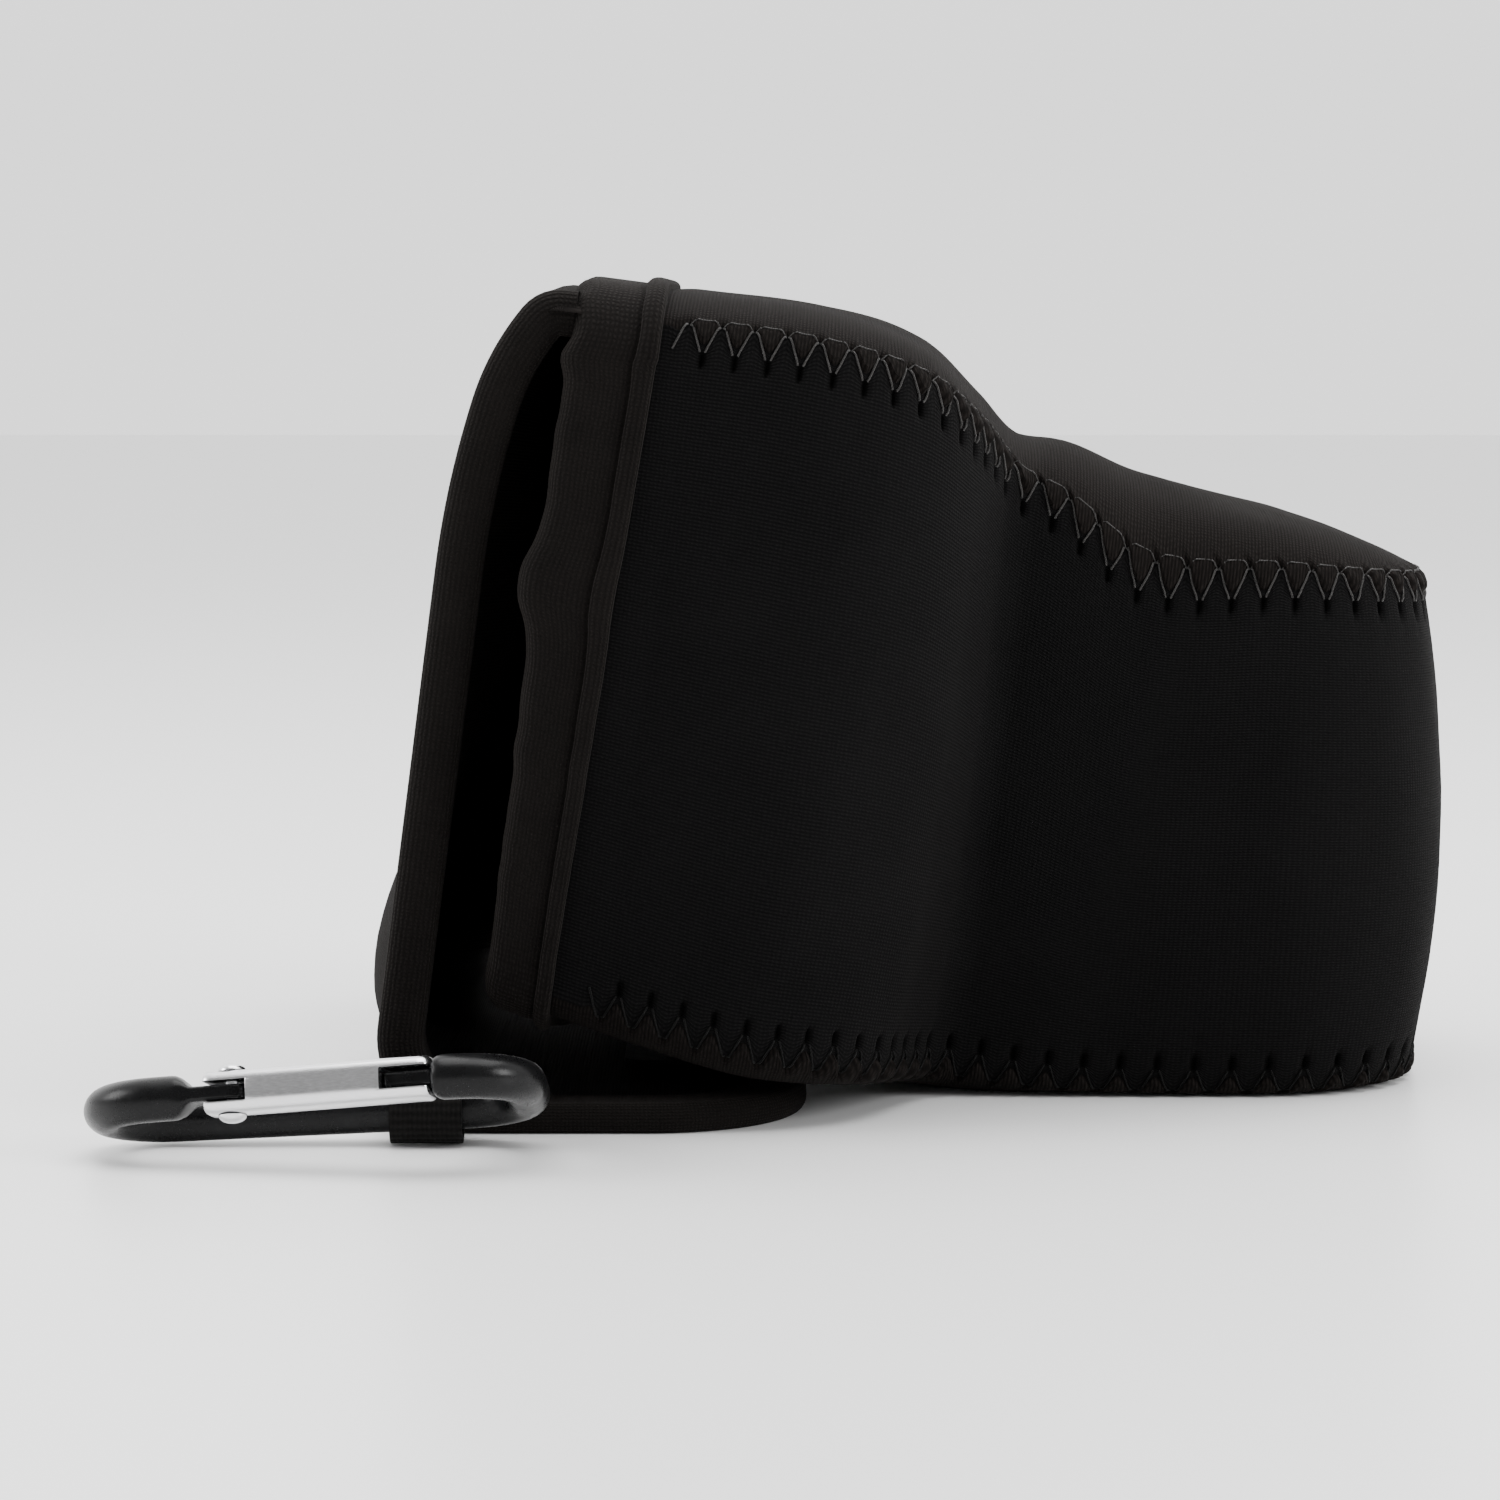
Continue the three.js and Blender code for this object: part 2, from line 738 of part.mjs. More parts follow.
function tongueBinding() {
  const slotHalf = tongueEdge / 2 - tongueSkin;
  const section = tapeSection(slotHalf, tongueSkin, tongueSlotDepth, tongueBindingWidth, false);
  const outline = tongueOutline(0);
  const frames = stepsAlong(outline, 0, outline.length, tongueStep).map((d) => {
    const { point, heading } = outline.at(d);
    return {
      origin: new THREE.Vector3(point.x, point.y, tongueMiddle),
      across: new THREE.Vector3(0, 0, 1),
      along: new THREE.Vector3(-Math.sin(heading), Math.cos(heading), 0),
    };
  });
  return sweptBody(section, frames);
}

// Hook patch on the tongue, and the loop patch over it on the pouch's underside
const patchFront = tongueFold.x - patchStart - patchLength;

function roundedPlate(halfWidth, length, corner, thickness) {
  const outline = new THREE.Shape();
  const centres = [
    [halfWidth - corner, length - corner],
    [corner - halfWidth, length - corner],
    [corner - halfWidth, corner],
    [halfWidth - corner, corner],
  ];
  centres.forEach(([x, y], k) => {
    outline.absarc(x, y, corner, (k * Math.PI) / 2, ((k + 1) * Math.PI) / 2, false);
  });
  const options = { depth: thickness, bevelEnabled: false, curveSegments: 3 };
  return new THREE.ExtrudeGeometry(outline, options);
}

function hookPatch() {
  const plate = roundedPlate(patchHalfWidth, patchLength, patchCorner, patchThickness);
  return plate.translate(0, patchFront, tongueMiddle + tongueSheet / 2 + seamGap);
}

function loopPatch() {
  const middle = leaned(0, 0).y;
  const face = (rest) => (share, along) => {
    const y = patchFront + patchLength * along + middle;
    const x = patchHalfWidth * (2 * share - 1);
    const sole = lowerSeam(y) - seamGap - soleCrownAt(y);
    return [x, y, sole - seamGap - rest];
  };
  return thickSheet(evenly(4), evenly(4), face(patchThickness), face(0));
}

// Carabiner, flat in its own frame: x along the spine from the nose end, y to the gate
const noseEnd = noseBowRadius + barRadius;
const gateHeading = Math.PI - gateSlope;
const gateWay = new THREE.Vector2(Math.cos(gateHeading), Math.sin(gateHeading));

// The end of the bow beside the gate's hinge, and the end beside the gate's nose
const hingeBow = new Route(new THREE.Vector2(noseEnd + spineLength, 0), 0);
hingeBow.arc(hingeBowRadius, gateHeading);
hingeBow.straight(shoulderRun);
const shoulder = hingeBow.end.clone();
const noseSpot = shoulder.clone().addScaledVector(gateWay, neckLength + gateLength + noseGap);
const rivetSpot = shoulder.clone().addScaledVector(gateWay, neckLength + rivetInset);

// From the nose round the nose bow, along the spine and round the hinge bow
function carabinerRoute() {
  const bowStart = (noseEnd + noseBowRadius * Math.sin(gateSlope) - noseSpot.x) / gateWay.x;
  const bowTop = noseSpot.y + gateWay.y * bowStart;
  const route = new Route(noseSpot, gateHeading);
  route.straight(bowStart);
  route.arc(noseBowRadius, Math.PI / 2 + gateSlope);
  route.straight(bowTop - noseBowRadius * Math.cos(gateSlope) - noseBowRadius);
  route.arc(noseBowRadius, Math.PI / 2);
  route.straight(spineLength);
  route.arc(hingeBowRadius, gateHeading);
  route.straight(shoulderRun);
  return route;
}

const bow = carabinerRoute();

// Moves a shape that lies along +x from 0 onto the gate's line, its start at a distance
function ontoGate(geometry, distance) {
  const start = shoulder.clone().addScaledVector(gateWay, distance);
  return geometry.rotateZ(gateHeading).translate(start.x, start.y, 0);
}

function box(length, width, thickness) {
  return new THREE.BoxGeometry(length, width, thickness).translate(length / 2, 0, 0);
}

function pin(radius, height) {
  return new THREE.CylinderGeometry(radius, radius, height, pinSides).rotateX(Math.PI / 2);
}

function ringSection(radius, sides) {
  const turns = Array.from({ length: sides }, (_, k) => (k / sides) * Math.PI * 2);
  return turns.map((a) => new THREE.Vector2(radius * Math.cos(a), radius * Math.sin(a)));
}

function carabinerFrame() {
  const frames = stepsAlong(bow, 0, bow.length, barStep).map((d) => {
    const { point, heading } = bow.at(d);
    return {
      origin: new THREE.Vector3(point.x, point.y, 0),
      across: new THREE.Vector3(-Math.sin(heading), Math.cos(heading), 0),
      along: new THREE.Vector3(0, 0, 1),
    };
  });
  const bar = toSolid(sweptBody(ringSection(barRadius, barSides), frames));
  const tangLength = bladeRoot + neckLength + rivetInset;
  const tang = ontoGate(box(tangLength, bladeWidth, bladeThickness), -bladeRoot);
  const eye = pin(bladeWidth / 2, bladeThickness).translate(rivetSpot.x, rivetSpot.y, 0);
  const hole = pin(rivetRadius + bladeGap, gateThickness).translate(rivetSpot.x, rivetSpot.y, 0);
  const noseWidth = gateWidth - noseWeb - bladeGap - noseStep;
  const nose = box(bladeRoot + noseGap + noseReach, noseWidth, bladeThickness);
  nose.translate(0, (noseStep - noseWeb - bladeGap) / 2, 0);
  ontoGate(nose, neckLength + gateLength - noseReach);
  const whole = bar.add(toSolid(tang)).add(toSolid(eye)).add(toSolid(nose));
  return fromSolid(whole.subtract(toSolid(hole)));
}

// Inside the gate the tang's round end turns in its slot, with the spring behind it
const slotLength = rivetInset + bladeWidth / 2 + bladeGap;

// Rounded bar with a slot for the tang, a notch for the nose and a bore for the spring
function carabinerGate() {
  const section = [];
  for (let k = 0; k < 4; k++) {
    const [sx, sy] = [k === 0 || k === 3 ? 1 : -1, k < 2 ? 1 : -1];
    for (let step = 0; step <= 2; step++) {
      const angle = ((k + step / 2) * Math.PI) / 2;
      const x = sx * (gateWidth / 2 - gateCorner) + gateCorner * Math.cos(angle);
      const y = sy * (gateThickness / 2 - gateCorner) + gateCorner * Math.sin(angle);
      section.push(new THREE.Vector2(x, y));
    }
  }
  const frames = [0, gateLength].map((x) => ({
    origin: new THREE.Vector3(x, 0, 0),
    across: new THREE.Vector3(0, 1, 0),
    along: new THREE.Vector3(0, 0, 1),
  }));
  const slotHeight = bladeThickness + 2 * bladeGap;
  const slot = box(slotLength + cutOver, gateWidth + 2 * cutOver, slotHeight);
  slot.translate(-cutOver, 0, 0);
  const notchLength = noseReach + bladeGap;
  const notch = box(notchLength + cutOver, gateWidth, slotHeight);
  notch.translate(gateLength - notchLength, -noseWeb, 0);
  const rivetHole = pin(rivetRadius + rivetEase, gateThickness + cutOver);
  rivetHole.translate(rivetInset, 0, 0);
  const boreLength = cutOver + springTurns * springPitch + springWire + bladeGap;
  const bore = pin(springRadius + springWire / 2 + bladeGap, boreLength).rotateY(Math.PI / 2);
  bore.translate(slotLength - cutOver + boreLength / 2, 0, 0);
  let gate = toSolid(sweptBody(section, frames));
  for (const cut of [slot, notch, rivetHole, bore]) gate = gate.subtract(toSolid(cut));
  return ontoGate(fromSolid(gate), neckLength);
}

function gateRivet() {
  const half = gateThickness / 2 + bladeGap;
  const rim = half + rivetHeadHeight / 4;
  const shoulderRound = rivetHeadRadius * Math.SQRT1_2;
  const profile = [
    [0, half + rivetHeadHeight],
    [shoulderRound, rim + (half + rivetHeadHeight - rim) * Math.SQRT1_2],
    [rivetHeadRadius, rim],
    [rivetHeadRadius, half],
    [rivetRadius, half],
  ];
  const mirrored = profile.map(([x, y]) => [x, -y]).reverse();
  const shape = [...profile, ...mirrored].map(([x, y]) => new THREE.Vector2(x, y));
  const rivet = new THREE.LatheGeometry(shape.reverse(), pinSides).rotateX(Math.PI / 2);
  return rivet.translate(rivetSpot.x, rivetSpot.y, 0);
}

// The coil behind the tang that shuts the gate
function gateSpring() {
  const frames = [];
  for (let i = 0; i <= springTurns * springSteps; i++) {
    const angle = (i / springSteps) * Math.PI * 2;
    const outward = new THREE.Vector3(0, Math.cos(angle), Math.sin(angle));
    const origin = outward.clone().multiplyScalar(springRadius);
    origin.x = springWire / 2 + (springPitch * i) / springSteps;
    frames.push({ origin, across: outward, along: new THREE.Vector3(1, 0, 0) });
  }
  const coil = sweptBody(ringSection(springWire / 2, springWireSides), frames);
  return ontoGate(coil, neckLength + slotLength);
}

// Where the carabiner lies: its spine beside the flap's edge, held a little off the floor
const loopRadius = barRadius + loopEase;
const loopOuter = loopRadius + loopWebbing;
const spineSide = -(flapHalfWidth + loopNeckGap + loopTail + loopOuter);
const spineLift = loopOuter + loopFloorGap;
const loopStart = tongueFold.x + loopSetback;

function loopShape() {
  const shape = new THREE.Shape();
  const tailEnd = loopOuter + loopTail;
  const meet = Math.asin(loopWebbing / loopOuter);
  shape.moveTo(tailEnd, -loopWebbing);
  shape.lineTo(tailEnd, loopWebbing);
  for (let k = 0; k <= loopSides; k++) {
    const angle = meet + ((Math.PI - meet) * 2 * k) / loopSides;
    shape.lineTo(loopOuter * Math.cos(angle), loopOuter * Math.sin(angle));
  }
  shape.closePath();
  const eye = new THREE.Path();
  eye.absarc(0, 0, loopRadius, 0, Math.PI * 2, true);
  shape.holes.push(eye);
  return shape;
}

// Section in X and Z, with the webbing's width along Y
function carabinerLoop() {
  const options = { depth: loopWidth, bevelEnabled: false, curveSegments: loopSides };
  const webbing = new THREE.ExtrudeGeometry(loopShape(), options).rotateX(Math.PI / 2);
  return webbing.translate(spineSide, loopStart + loopWidth, spineLift);
}

function loopTack() {
  const tack = new THREE.CapsuleGeometry(tackRise, tackLength - 2 * tackRise, 2, 8);
  tack.scale(tackWidth / tackRise, 1, 1);
  const x = spineSide + loopOuter + loopTail / 2;
  const z = spineLift + loopWebbing + tackRise + seamGap;
  return tack.translate(x, loopStart + loopWidth / 2, z);
}

// Materials: one of its own for every mesh
function fabric(colour, roughness) {
  return new THREE.MeshStandardMaterial({ color: colour, roughness, metalness: 0 });
}

function metal(colour, roughness) {
  return new THREE.MeshStandardMaterial({ color: colour, roughness, metalness: 1 });
}

const neoprene = () => fabric(0x1b1919, 0.92);
const knitTape = () => fabric(0x201e1e, 0.88);
const webbingCloth = () => fabric(0x262323, 0.85);
const hookTape = () => fabric(0x161515, 0.95);
const thread = () => fabric(0x3c3836, 0.7);
const blackAluminium = () => metal(0x151516, 0.35);
const brightAluminium = () => metal(0xc9cacc, 0.28);
const springSteel = () => metal(0x9a9a98, 0.3);

function piece(name, geometry, material) {
  geometry.computeVertexNormals();
  const mesh = new THREE.Mesh(geometry, material);
  mesh.name = name;
  return mesh;
}

const pouch = new THREE.Group();
pouch.rotation.x = caseLean;
pouch.add(
  piece('side_band', sideBand(), neoprene()),
  piece('top_panel', topPanel(), neoprene()),
  piece('bottom_panel', bottomPanel(), neoprene()),
  piece('left_edge_binding', uprightBinding(-1), knitTape()),
  piece('right_edge_binding', uprightBinding(1), knitTape()),
  piece('bottom_edge_binding', lowerBinding(), knitTape()),
  piece('loop_patch', loopPatch(), hookTape()),
);

const flap = new THREE.Group();
flap.add(
  piece('flap_panel', flapPanel(), neoprene()),
  piece('flap_left_binding', flapBinding(-1), knitTape()),
  piece('flap_right_binding', flapBinding(1), knitTape()),
  piece('carabiner_loop', carabinerLoop(), webbingCloth()),
  piece('loop_bartack', loopTack(), thread()),
);

const tongue = new THREE.Group();
tongue.add(
  piece('tongue_panel', tonguePanel(), neoprene()),
  piece('tongue_binding', tongueBinding(), knitTape()),
  piece('hook_patch', hookPatch(), hookTape()),
);

// The carabiner's own axes: along the spine to the flap's back, to the gate, and up
const alongSpine = new THREE.Vector3(0, Math.cos(carabinerPitch), -Math.sin(carabinerPitch));
const levelGate = new THREE.Vector3(-Math.cos(carabinerRoll), 0, Math.sin(carabinerRoll));
const ringNormal = alongSpine.clone().cross(levelGate).normalize();
const toGate = ringNormal.clone().cross(alongSpine);

const carabiner = new THREE.Group();
carabiner.quaternion.setFromRotationMatrix(
  new THREE.Matrix4().makeBasis(alongSpine, toGate, ringNormal),
);
const loopMiddle = noseEnd + loopWidth / 2 + loopSetback;
carabiner.position.set(spineSide, loopStart + loopWidth / 2, spineLift);
carabiner.position.addScaledVector(alongSpine, -loopMiddle);
carabiner.add(
  piece('carabiner_frame', carabinerFrame(), blackAluminium()),
  piece('carabiner_gate', carabinerGate(), brightAluminium()),
  piece('gate_rivet', gateRivet(), brightAluminium()),
  piece('gate_spring', gateSpring(), springSteel()),
);

const cameraCase = new THREE.Group();
cameraCase.add(pouch, flap, tongue, carabiner);

export default cameraCase;
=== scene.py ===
import math

import bmesh
import bpy
from mathutils import Matrix, Vector, noise
from mathutils.kdtree import KDTree


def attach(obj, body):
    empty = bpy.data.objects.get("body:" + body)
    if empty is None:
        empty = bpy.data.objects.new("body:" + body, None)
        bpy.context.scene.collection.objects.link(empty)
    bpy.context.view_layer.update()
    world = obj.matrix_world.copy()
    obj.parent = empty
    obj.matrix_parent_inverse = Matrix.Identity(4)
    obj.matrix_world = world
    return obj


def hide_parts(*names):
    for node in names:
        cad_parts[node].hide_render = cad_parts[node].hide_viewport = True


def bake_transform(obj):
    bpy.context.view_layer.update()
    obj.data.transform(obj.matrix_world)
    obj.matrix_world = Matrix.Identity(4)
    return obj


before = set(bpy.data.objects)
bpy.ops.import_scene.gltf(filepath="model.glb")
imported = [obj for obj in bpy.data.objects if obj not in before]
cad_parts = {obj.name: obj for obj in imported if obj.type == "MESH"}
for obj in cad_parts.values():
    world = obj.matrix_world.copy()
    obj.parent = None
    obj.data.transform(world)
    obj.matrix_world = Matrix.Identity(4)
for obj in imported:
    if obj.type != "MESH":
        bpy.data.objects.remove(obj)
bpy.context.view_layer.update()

# Sizes below are in millimetres and angles in radians
MM = 0.001

# Pouch, in its own upright frame before it leans
CASE_LEAN = math.radians(7.5)
WALL = 3.6
SEAM_GAP = 0.3
BODY_HALF_WIDTH = 60.5
BODY_SIDE = 31.6
SHOULDER_RADIUS = 24
SHOULDER_TURN = math.radians(65)
CREASE_RADIUS = 6
SNOUT_HALF_WIDTH = 32.5
SNOUT_SIDE = 33.4
SNOUT_CORNER_RADIUS = 20
SNOUT_CORNER_TURN = math.radians(78)
SNOUT_FOOT = 8
SNOUT_TIP_HEIGHT = 78.8
SNOUT_SOLE_RISE = 1.5
MOUTH_BULGE = 2.4
SIDE_BULGE = 4
CREASE_BULGE = 1
SNOUT_BULGE = 3.6
TIP_BULGE = 3
ROLL_OVER = 24
SOLE_CROWN = 3.75
SHOULDER_SLANT = 12
FAN_POWER = 2
RIM_STEP = 0.1

# Unevenness of the stretched cloth: height, size and seed of each layer, and by side for the flap's edges
WALL_WAVES = ((0.5, 24, 3.7), (0.2, 9, 8.1))
TOP_WAVES = ((0.55, 26, 1.3), (0.2, 10, 5.2))
TAPE_WAVES = ((0.3, 11, 6.4),)
BUNCHED_WAVES = ((0.7, 3.6, 2.9),)
FLAP_WAVES = ((0.9, 30, 9.3),)
EDGE_WAVES = {-1: ((0.3, 12, 1.2),), 1: ((0.3, 12, 3.2),)}

# Binding on the mouth's edge
MOUTH_EDGE = 35.6
HINGE_EDGE = MOUTH_EDGE + 0.6
SLOT_DEPTH = 3.2
TAPE_WIDTH = 8.8
TAPE_FOOT_SCALE = 0.72
TAPE_SKIN = 1.2
RIDGE_WIDTH = 2.8
RIDGE_RISE = 0.9
MOUTH_DIP = 1.1
MOUTH_CORNER = 10
HUMP_AT = 66
HUMP_RISE = 2.3
HUMP_SPREAD = 5.5
BUNCHED_AT = 97
BUNCHED_SPREAD = 9
SOLE_RISE = 2.6

# Flap and tongue
FLAP_HALF_WIDTH = BODY_HALF_WIDTH - 0.5
FLAP_SHEET = 3
FLAP_EDGE = 5.8
FLAP_TAPE_WIDTH = 9
FLAP_DROP = 1.8
FLAP_TOP_RADIUS = 6.2
FLAP_TOP_TURN = math.radians(50)
FLAP_KNEE_RADIUS = 34
FLAP_KNEE = math.radians(72)
FLAP_SWEEP_RADIUS = 120
FLAP_HANG = math.radians(82.5)
FLAP_BEND_RADIUS = 12
FLAP_BELLY = 6
FLAP_UPPER_BELLY = -10
UPPER_BELLY_AT = 42
FAR_SAG = -12.5
FAR_SAG_AT = 88
FAR_SAG_SPREAD = 26
UPPER_END = 24
TONGUE_LENGTH = 42.6
TONGUE_CORNER = 20
TONGUE_SHEET = 2.2
TONGUE_EDGE = 3.8
TONGUE_TAPE_WIDTH = 8
TAPE_TUCK = 2.3

# Seam stitches: peaks on the panel, feet in needle holes on the wall, the panel's edge scalloped
STITCH_PITCH = 4.1
STITCH_PEAK = 0.5
STITCH_ARCH = 0.45
STITCH_FOOT = -2.5
SCALLOP_FOOT = -1.6
SCALLOP_SWELL = 0.55
PEAK_DRAW = 0.4
INSIDE_DIP = 0.25
EDGE_DIP = 0.3
SEAM_REACH = 6
HOLE_MIDDLE = -3.5
HOLE_LENGTH = 2.2
HOLE_SPREAD = 0.42
HOLE_DEPTH = 0.85
THREAD_RADIUS = 0.14
ARCH_RADIUS = 0.1

# Carabiner
BAR_RADIUS = 2.75
SPINE_LENGTH = 36
BOW_RADIUS = 8
SHOULDER_RUN = 4
GATE_LENGTH = 28.1
GATE_THICKNESS = 5.3
GATE_WIDTH = 6
GATE_SLOPE = math.radians(10.7)
NECK_LENGTH = 3.4
BLADE_THICKNESS = 2
BLADE_WIDTH = 4.4
BLADE_GAP = 0.3
NOSE_REACH = 5.6
NOSE_WEB = 1.2
NOSE_STEP = 0.8
NOSE_GAP = 0.5
RIVET_INSET = 3
RIVET_HEAD_RADIUS = 1.75
GATE_BEVEL = 0.14
LOOP_WIDTH = 9
LOOP_WEBBING = 1.1
LOOP_INNER = BAR_RADIUS + 0.55
LOOP_OUTER = LOOP_INNER + LOOP_WEBBING
LOOP_TAIL = 1.4
LOOP_SETBACK = 0.6
TACK_POINTS = 26
TACK_INSET = 1.3
TACK_LENGTH = 6.4
TACK_HALF_WIDTH = 0.42
TACK_LIFT = 0.12
TACK_THREAD = 0.16
CARABINER_ROLL = math.radians(19)
CARABINER_PITCH = math.radians(2.7)


# Curves
def clamp(value, low=0.0, high=1.0):
    return max(low, min(high, value))


def ease(t):
    t = clamp(t)
    return t * t * (3 - 2 * t)


def mix(a, b, t):
    return a + (b - a) * t


def bell(offset, width):
    """1 where the offset is 0, falling away over about a width."""
    return math.exp(-(offset / width) ** 2)


def smooth_line(stations, straight_end=False):
    """A curve through (place, height) stations, smooth from one to the next."""
    last = len(stations) - 1

    def slope(i):
        if straight_end and i == last - 1:
            return slope(last)
        a = stations[max(i - 1, 0)]
        b = stations[min(i + 1, last)]
        return (b[1] - a[1]) / (b[0] - a[0])

    def value(at):
        i = 0
        while i < last - 1 and at > stations[i + 1][0]:
            i += 1
        start, low = stations[i]
        end, high = stations[i + 1]
        span = end - start
        t = clamp((at - start) / span)
        leave = t * (1 - t) ** 2 * span * slope(i)
        arrive = -t * t * (1 - t) * span * slope(i + 1)
        return low + (high - low) * ease(t) + leave + arrive

    return value


class Route:
    """A flat path of straight runs and arcs, followed by its length."""

    def __init__(self, start, heading):
        self.pieces = []
        self.length = 0.0
        self.end = Vector(start)
        self.heading = heading

    def add(self, length, turn):
        self.pieces.append((self.length, length, turn, self.end, self.heading))
        self.length += length
        self.end = self.at(self.length)[0]
        self.heading += turn

    def straight(self, length):
        self.add(length, 0.0)

    def arc(self, radius, turn):
        self.add(radius * abs(turn), turn)

    def at(self, distance):
        """The point and heading at a distance along the path."""
        for piece in self.pieces:
            if distance <= piece[0] + piece[1]:
                break
        begin, length, turn, start, first = piece
        run = distance - begin
        turned = turn * run / length if length > 0 else 0.0
        heading = first + turned
        if abs(turned) < 1e-9:
            return start + run * Vector((math.cos(heading), math.sin(heading))), heading
        radius = run / turned
        across = math.sin(heading) - math.sin(first)
        along = math.cos(first) - math.cos(heading)
        return start + radius * Vector((across, along)), heading


def spread(start, end, step):
    """Even places from start to end, about a step apart."""
    count = max(1, round(abs(end - start) / step))
    return [mix(start, end, i / count) for i in range(count + 1)]


# Plan of the pouch: one side from the mouth's corner round to the middle of the snout
PLAN = Route((BODY_HALF_WIDTH, HINGE_EDGE), -math.pi / 2)
PLAN.straight(BODY_SIDE)
PLAN.arc(SHOULDER_RADIUS, -SHOULDER_TURN)
CURVED_ACROSS = (SHOULDER_RADIUS + CREASE_RADIUS) * (1 - math.cos(SHOULDER_TURN))
PLAN.straight((BODY_HALF_WIDTH - SNOUT_HALF_WIDTH - CURVED_ACROSS) / math.sin(SHOULDER_TURN))
CREASE_AT = PLAN.length + CREASE_RADIUS * SHOULDER_TURN / 2
PLAN.arc(CREASE_RADIUS, SHOULDER_TURN)
PLAN.straight(SNOUT_SIDE)
CORNER_AT = PLAN.length
PLAN.arc(SNOUT_CORNER_RADIUS, -SNOUT_CORNER_TURN)
TIP_TURN = math.pi / 2 - SNOUT_CORNER_TURN
TIP_HALF = SNOUT_HALF_WIDTH - SNOUT_CORNER_RADIUS * (1 - math.cos(SNOUT_CORNER_TURN))
PLAN.arc(TIP_HALF / math.sin(TIP_TURN), -TIP_TURN)
HALF_PLAN = PLAN.length
TIP_EDGE = PLAN.end.y
CREASE_EDGE = PLAN.at(CREASE_AT)[0].y
CORNER_EDGE = PLAN.at(CORNER_AT)[0].y
WALL_START = HINGE_EDGE - (MOUTH_EDGE - SLOT_DEPTH - SEAM_GAP)
BODY_MIDDLE = HINGE_EDGE - BODY_SIDE
TAPE_FRONT = MOUTH_EDGE - TAPE_WIDTH - RIDGE_WIDTH
SHOULDER_MIDDLE = (BODY_MIDDLE + CREASE_EDGE) / 2
SNOUT_MIDDLE = (CREASE_EDGE + CORNER_EDGE) / 2


def floor_under(y):
    return -y * math.tan(CASE_LEAN)


UPPER_SEAM = smooth_line([
    (TIP_EDGE, SNOUT_TIP_HEIGHT), (CORNER_EDGE, 77.4), (SNOUT_MIDDLE, 75.6),
    (CREASE_EDGE - CREASE_RADIUS, 83.2), (CREASE_EDGE, 86), (CREASE_EDGE + CREASE_RADIUS, 91.5),
    (SHOULDER_MIDDLE, 96.6), (BODY_MIDDLE, 99.2), (TAPE_FRONT, 99.4), (HINGE_EDGE, 99.4),
], True)
UPPER_CROWN = smooth_line([
    (TIP_EDGE, 4.2), (CORNER_EDGE, 7.6), (SNOUT_MIDDLE, 11.6), (CREASE_EDGE, 4.8),
    (CREASE_EDGE + CREASE_RADIUS, 4.2), (SHOULDER_MIDDLE, 5), (HINGE_EDGE, 4.5),
])
LOWER_SEAM = smooth_line([
    (TIP_EDGE, floor_under(TIP_EDGE) + SNOUT_SOLE_RISE),
    (SNOUT_MIDDLE, floor_under(SNOUT_MIDDLE) + SNOUT_SOLE_RISE),
    (CREASE_EDGE, 7.4), (SHOULDER_MIDDLE, 9.4), (BODY_MIDDLE, 10.4),
    (TAPE_FRONT, 14.0), (HINGE_EDGE, 16.6),
], True)
SOLE_CROWN_AT = smooth_line([
    (SNOUT_MIDDLE, SNOUT_SOLE_RISE - SEAM_GAP), (CREASE_EDGE, SOLE_CROWN), (HINGE_EDGE, SOLE_CROWN),
])
BULGE = smooth_line([
    (WALL_START + TAPE_WIDTH + RIDGE_WIDTH, MOUTH_BULGE), (BODY_SIDE, SIDE_BULGE),
    (CREASE_AT, CREASE_BULGE), (CORNER_AT, SNOUT_BULGE), (HALF_PLAN, TIP_BULGE),
])


def rim_at(signed):
    """The plan's distance, point and outward way, from the mouth's left corner to its right one."""
    side = -1 if signed < 0 else 1
    distance = HALF_PLAN - abs(signed)
    point, heading = PLAN.at(distance)
    outward = Vector((-math.sin(heading) * side, math.cos(heading)))
    return distance, Vector((point.x * side, point.y)), outward


def footed(x, y, z):
    """The snout stands upright on its foot, which reaches forward along the floor."""
    along = ease((CREASE_EDGE - y) / (CREASE_EDGE - TIP_EDGE))
    height = (z - floor_under(y)) / (SNOUT_TIP_HEIGHT - floor_under(TIP_EDGE))
    reach = SNOUT_FOOT * along * max(0.0, 1 - height)
    return Vector((x, y - reach * math.cos(CASE_LEAN), z + reach * math.sin(CASE_LEAN)))


def leaned(x, y, z):
    """From the pouch's own frame to the resting frame, in millimetres."""
    c, s = math.cos(CASE_LEAN), math.sin(CASE_LEAN)
    return Vector((x, y * c - z * s, y * s + z * c))


def sewn(signed):
    """1 where the stitches show, 0 under the mouth's tape."""
    return ease((HALF_PLAN - abs(signed) - WALL_START - TAPE_WIDTH) / 3)


def from_midway(signed):
    """1 at a stitch's peak, 0 midway between two."""
    return abs((signed / STITCH_PITCH) % 1 - 0.5) * 2


def seam_line(signed):
    """Where the panel's edge runs: up at the stitches' peaks, hanging in scallops between them."""
    return sewn(signed) * mix(SCALLOP_FOOT, STITCH_PEAK, ease(from_midway(signed)))


def drawn_off(signed, off):
    """A spot's distance from the seam once its cloth follows the scalloped edge."""
    return off + seam_line(signed) * max(0.0, 1 - abs(off) / SEAM_REACH) ** 2


def needle_hole(signed, off):
    """1 in the needle holes below the seam, midway between the stitches' peaks, else 0."""
    across = from_midway(signed) * STITCH_PITCH / 2
    along = (off - HOLE_MIDDLE) / (HOLE_LENGTH / 2)
    return sewn(signed) * bell(across, HOLE_SPREAD) * math.exp(-along ** 4)


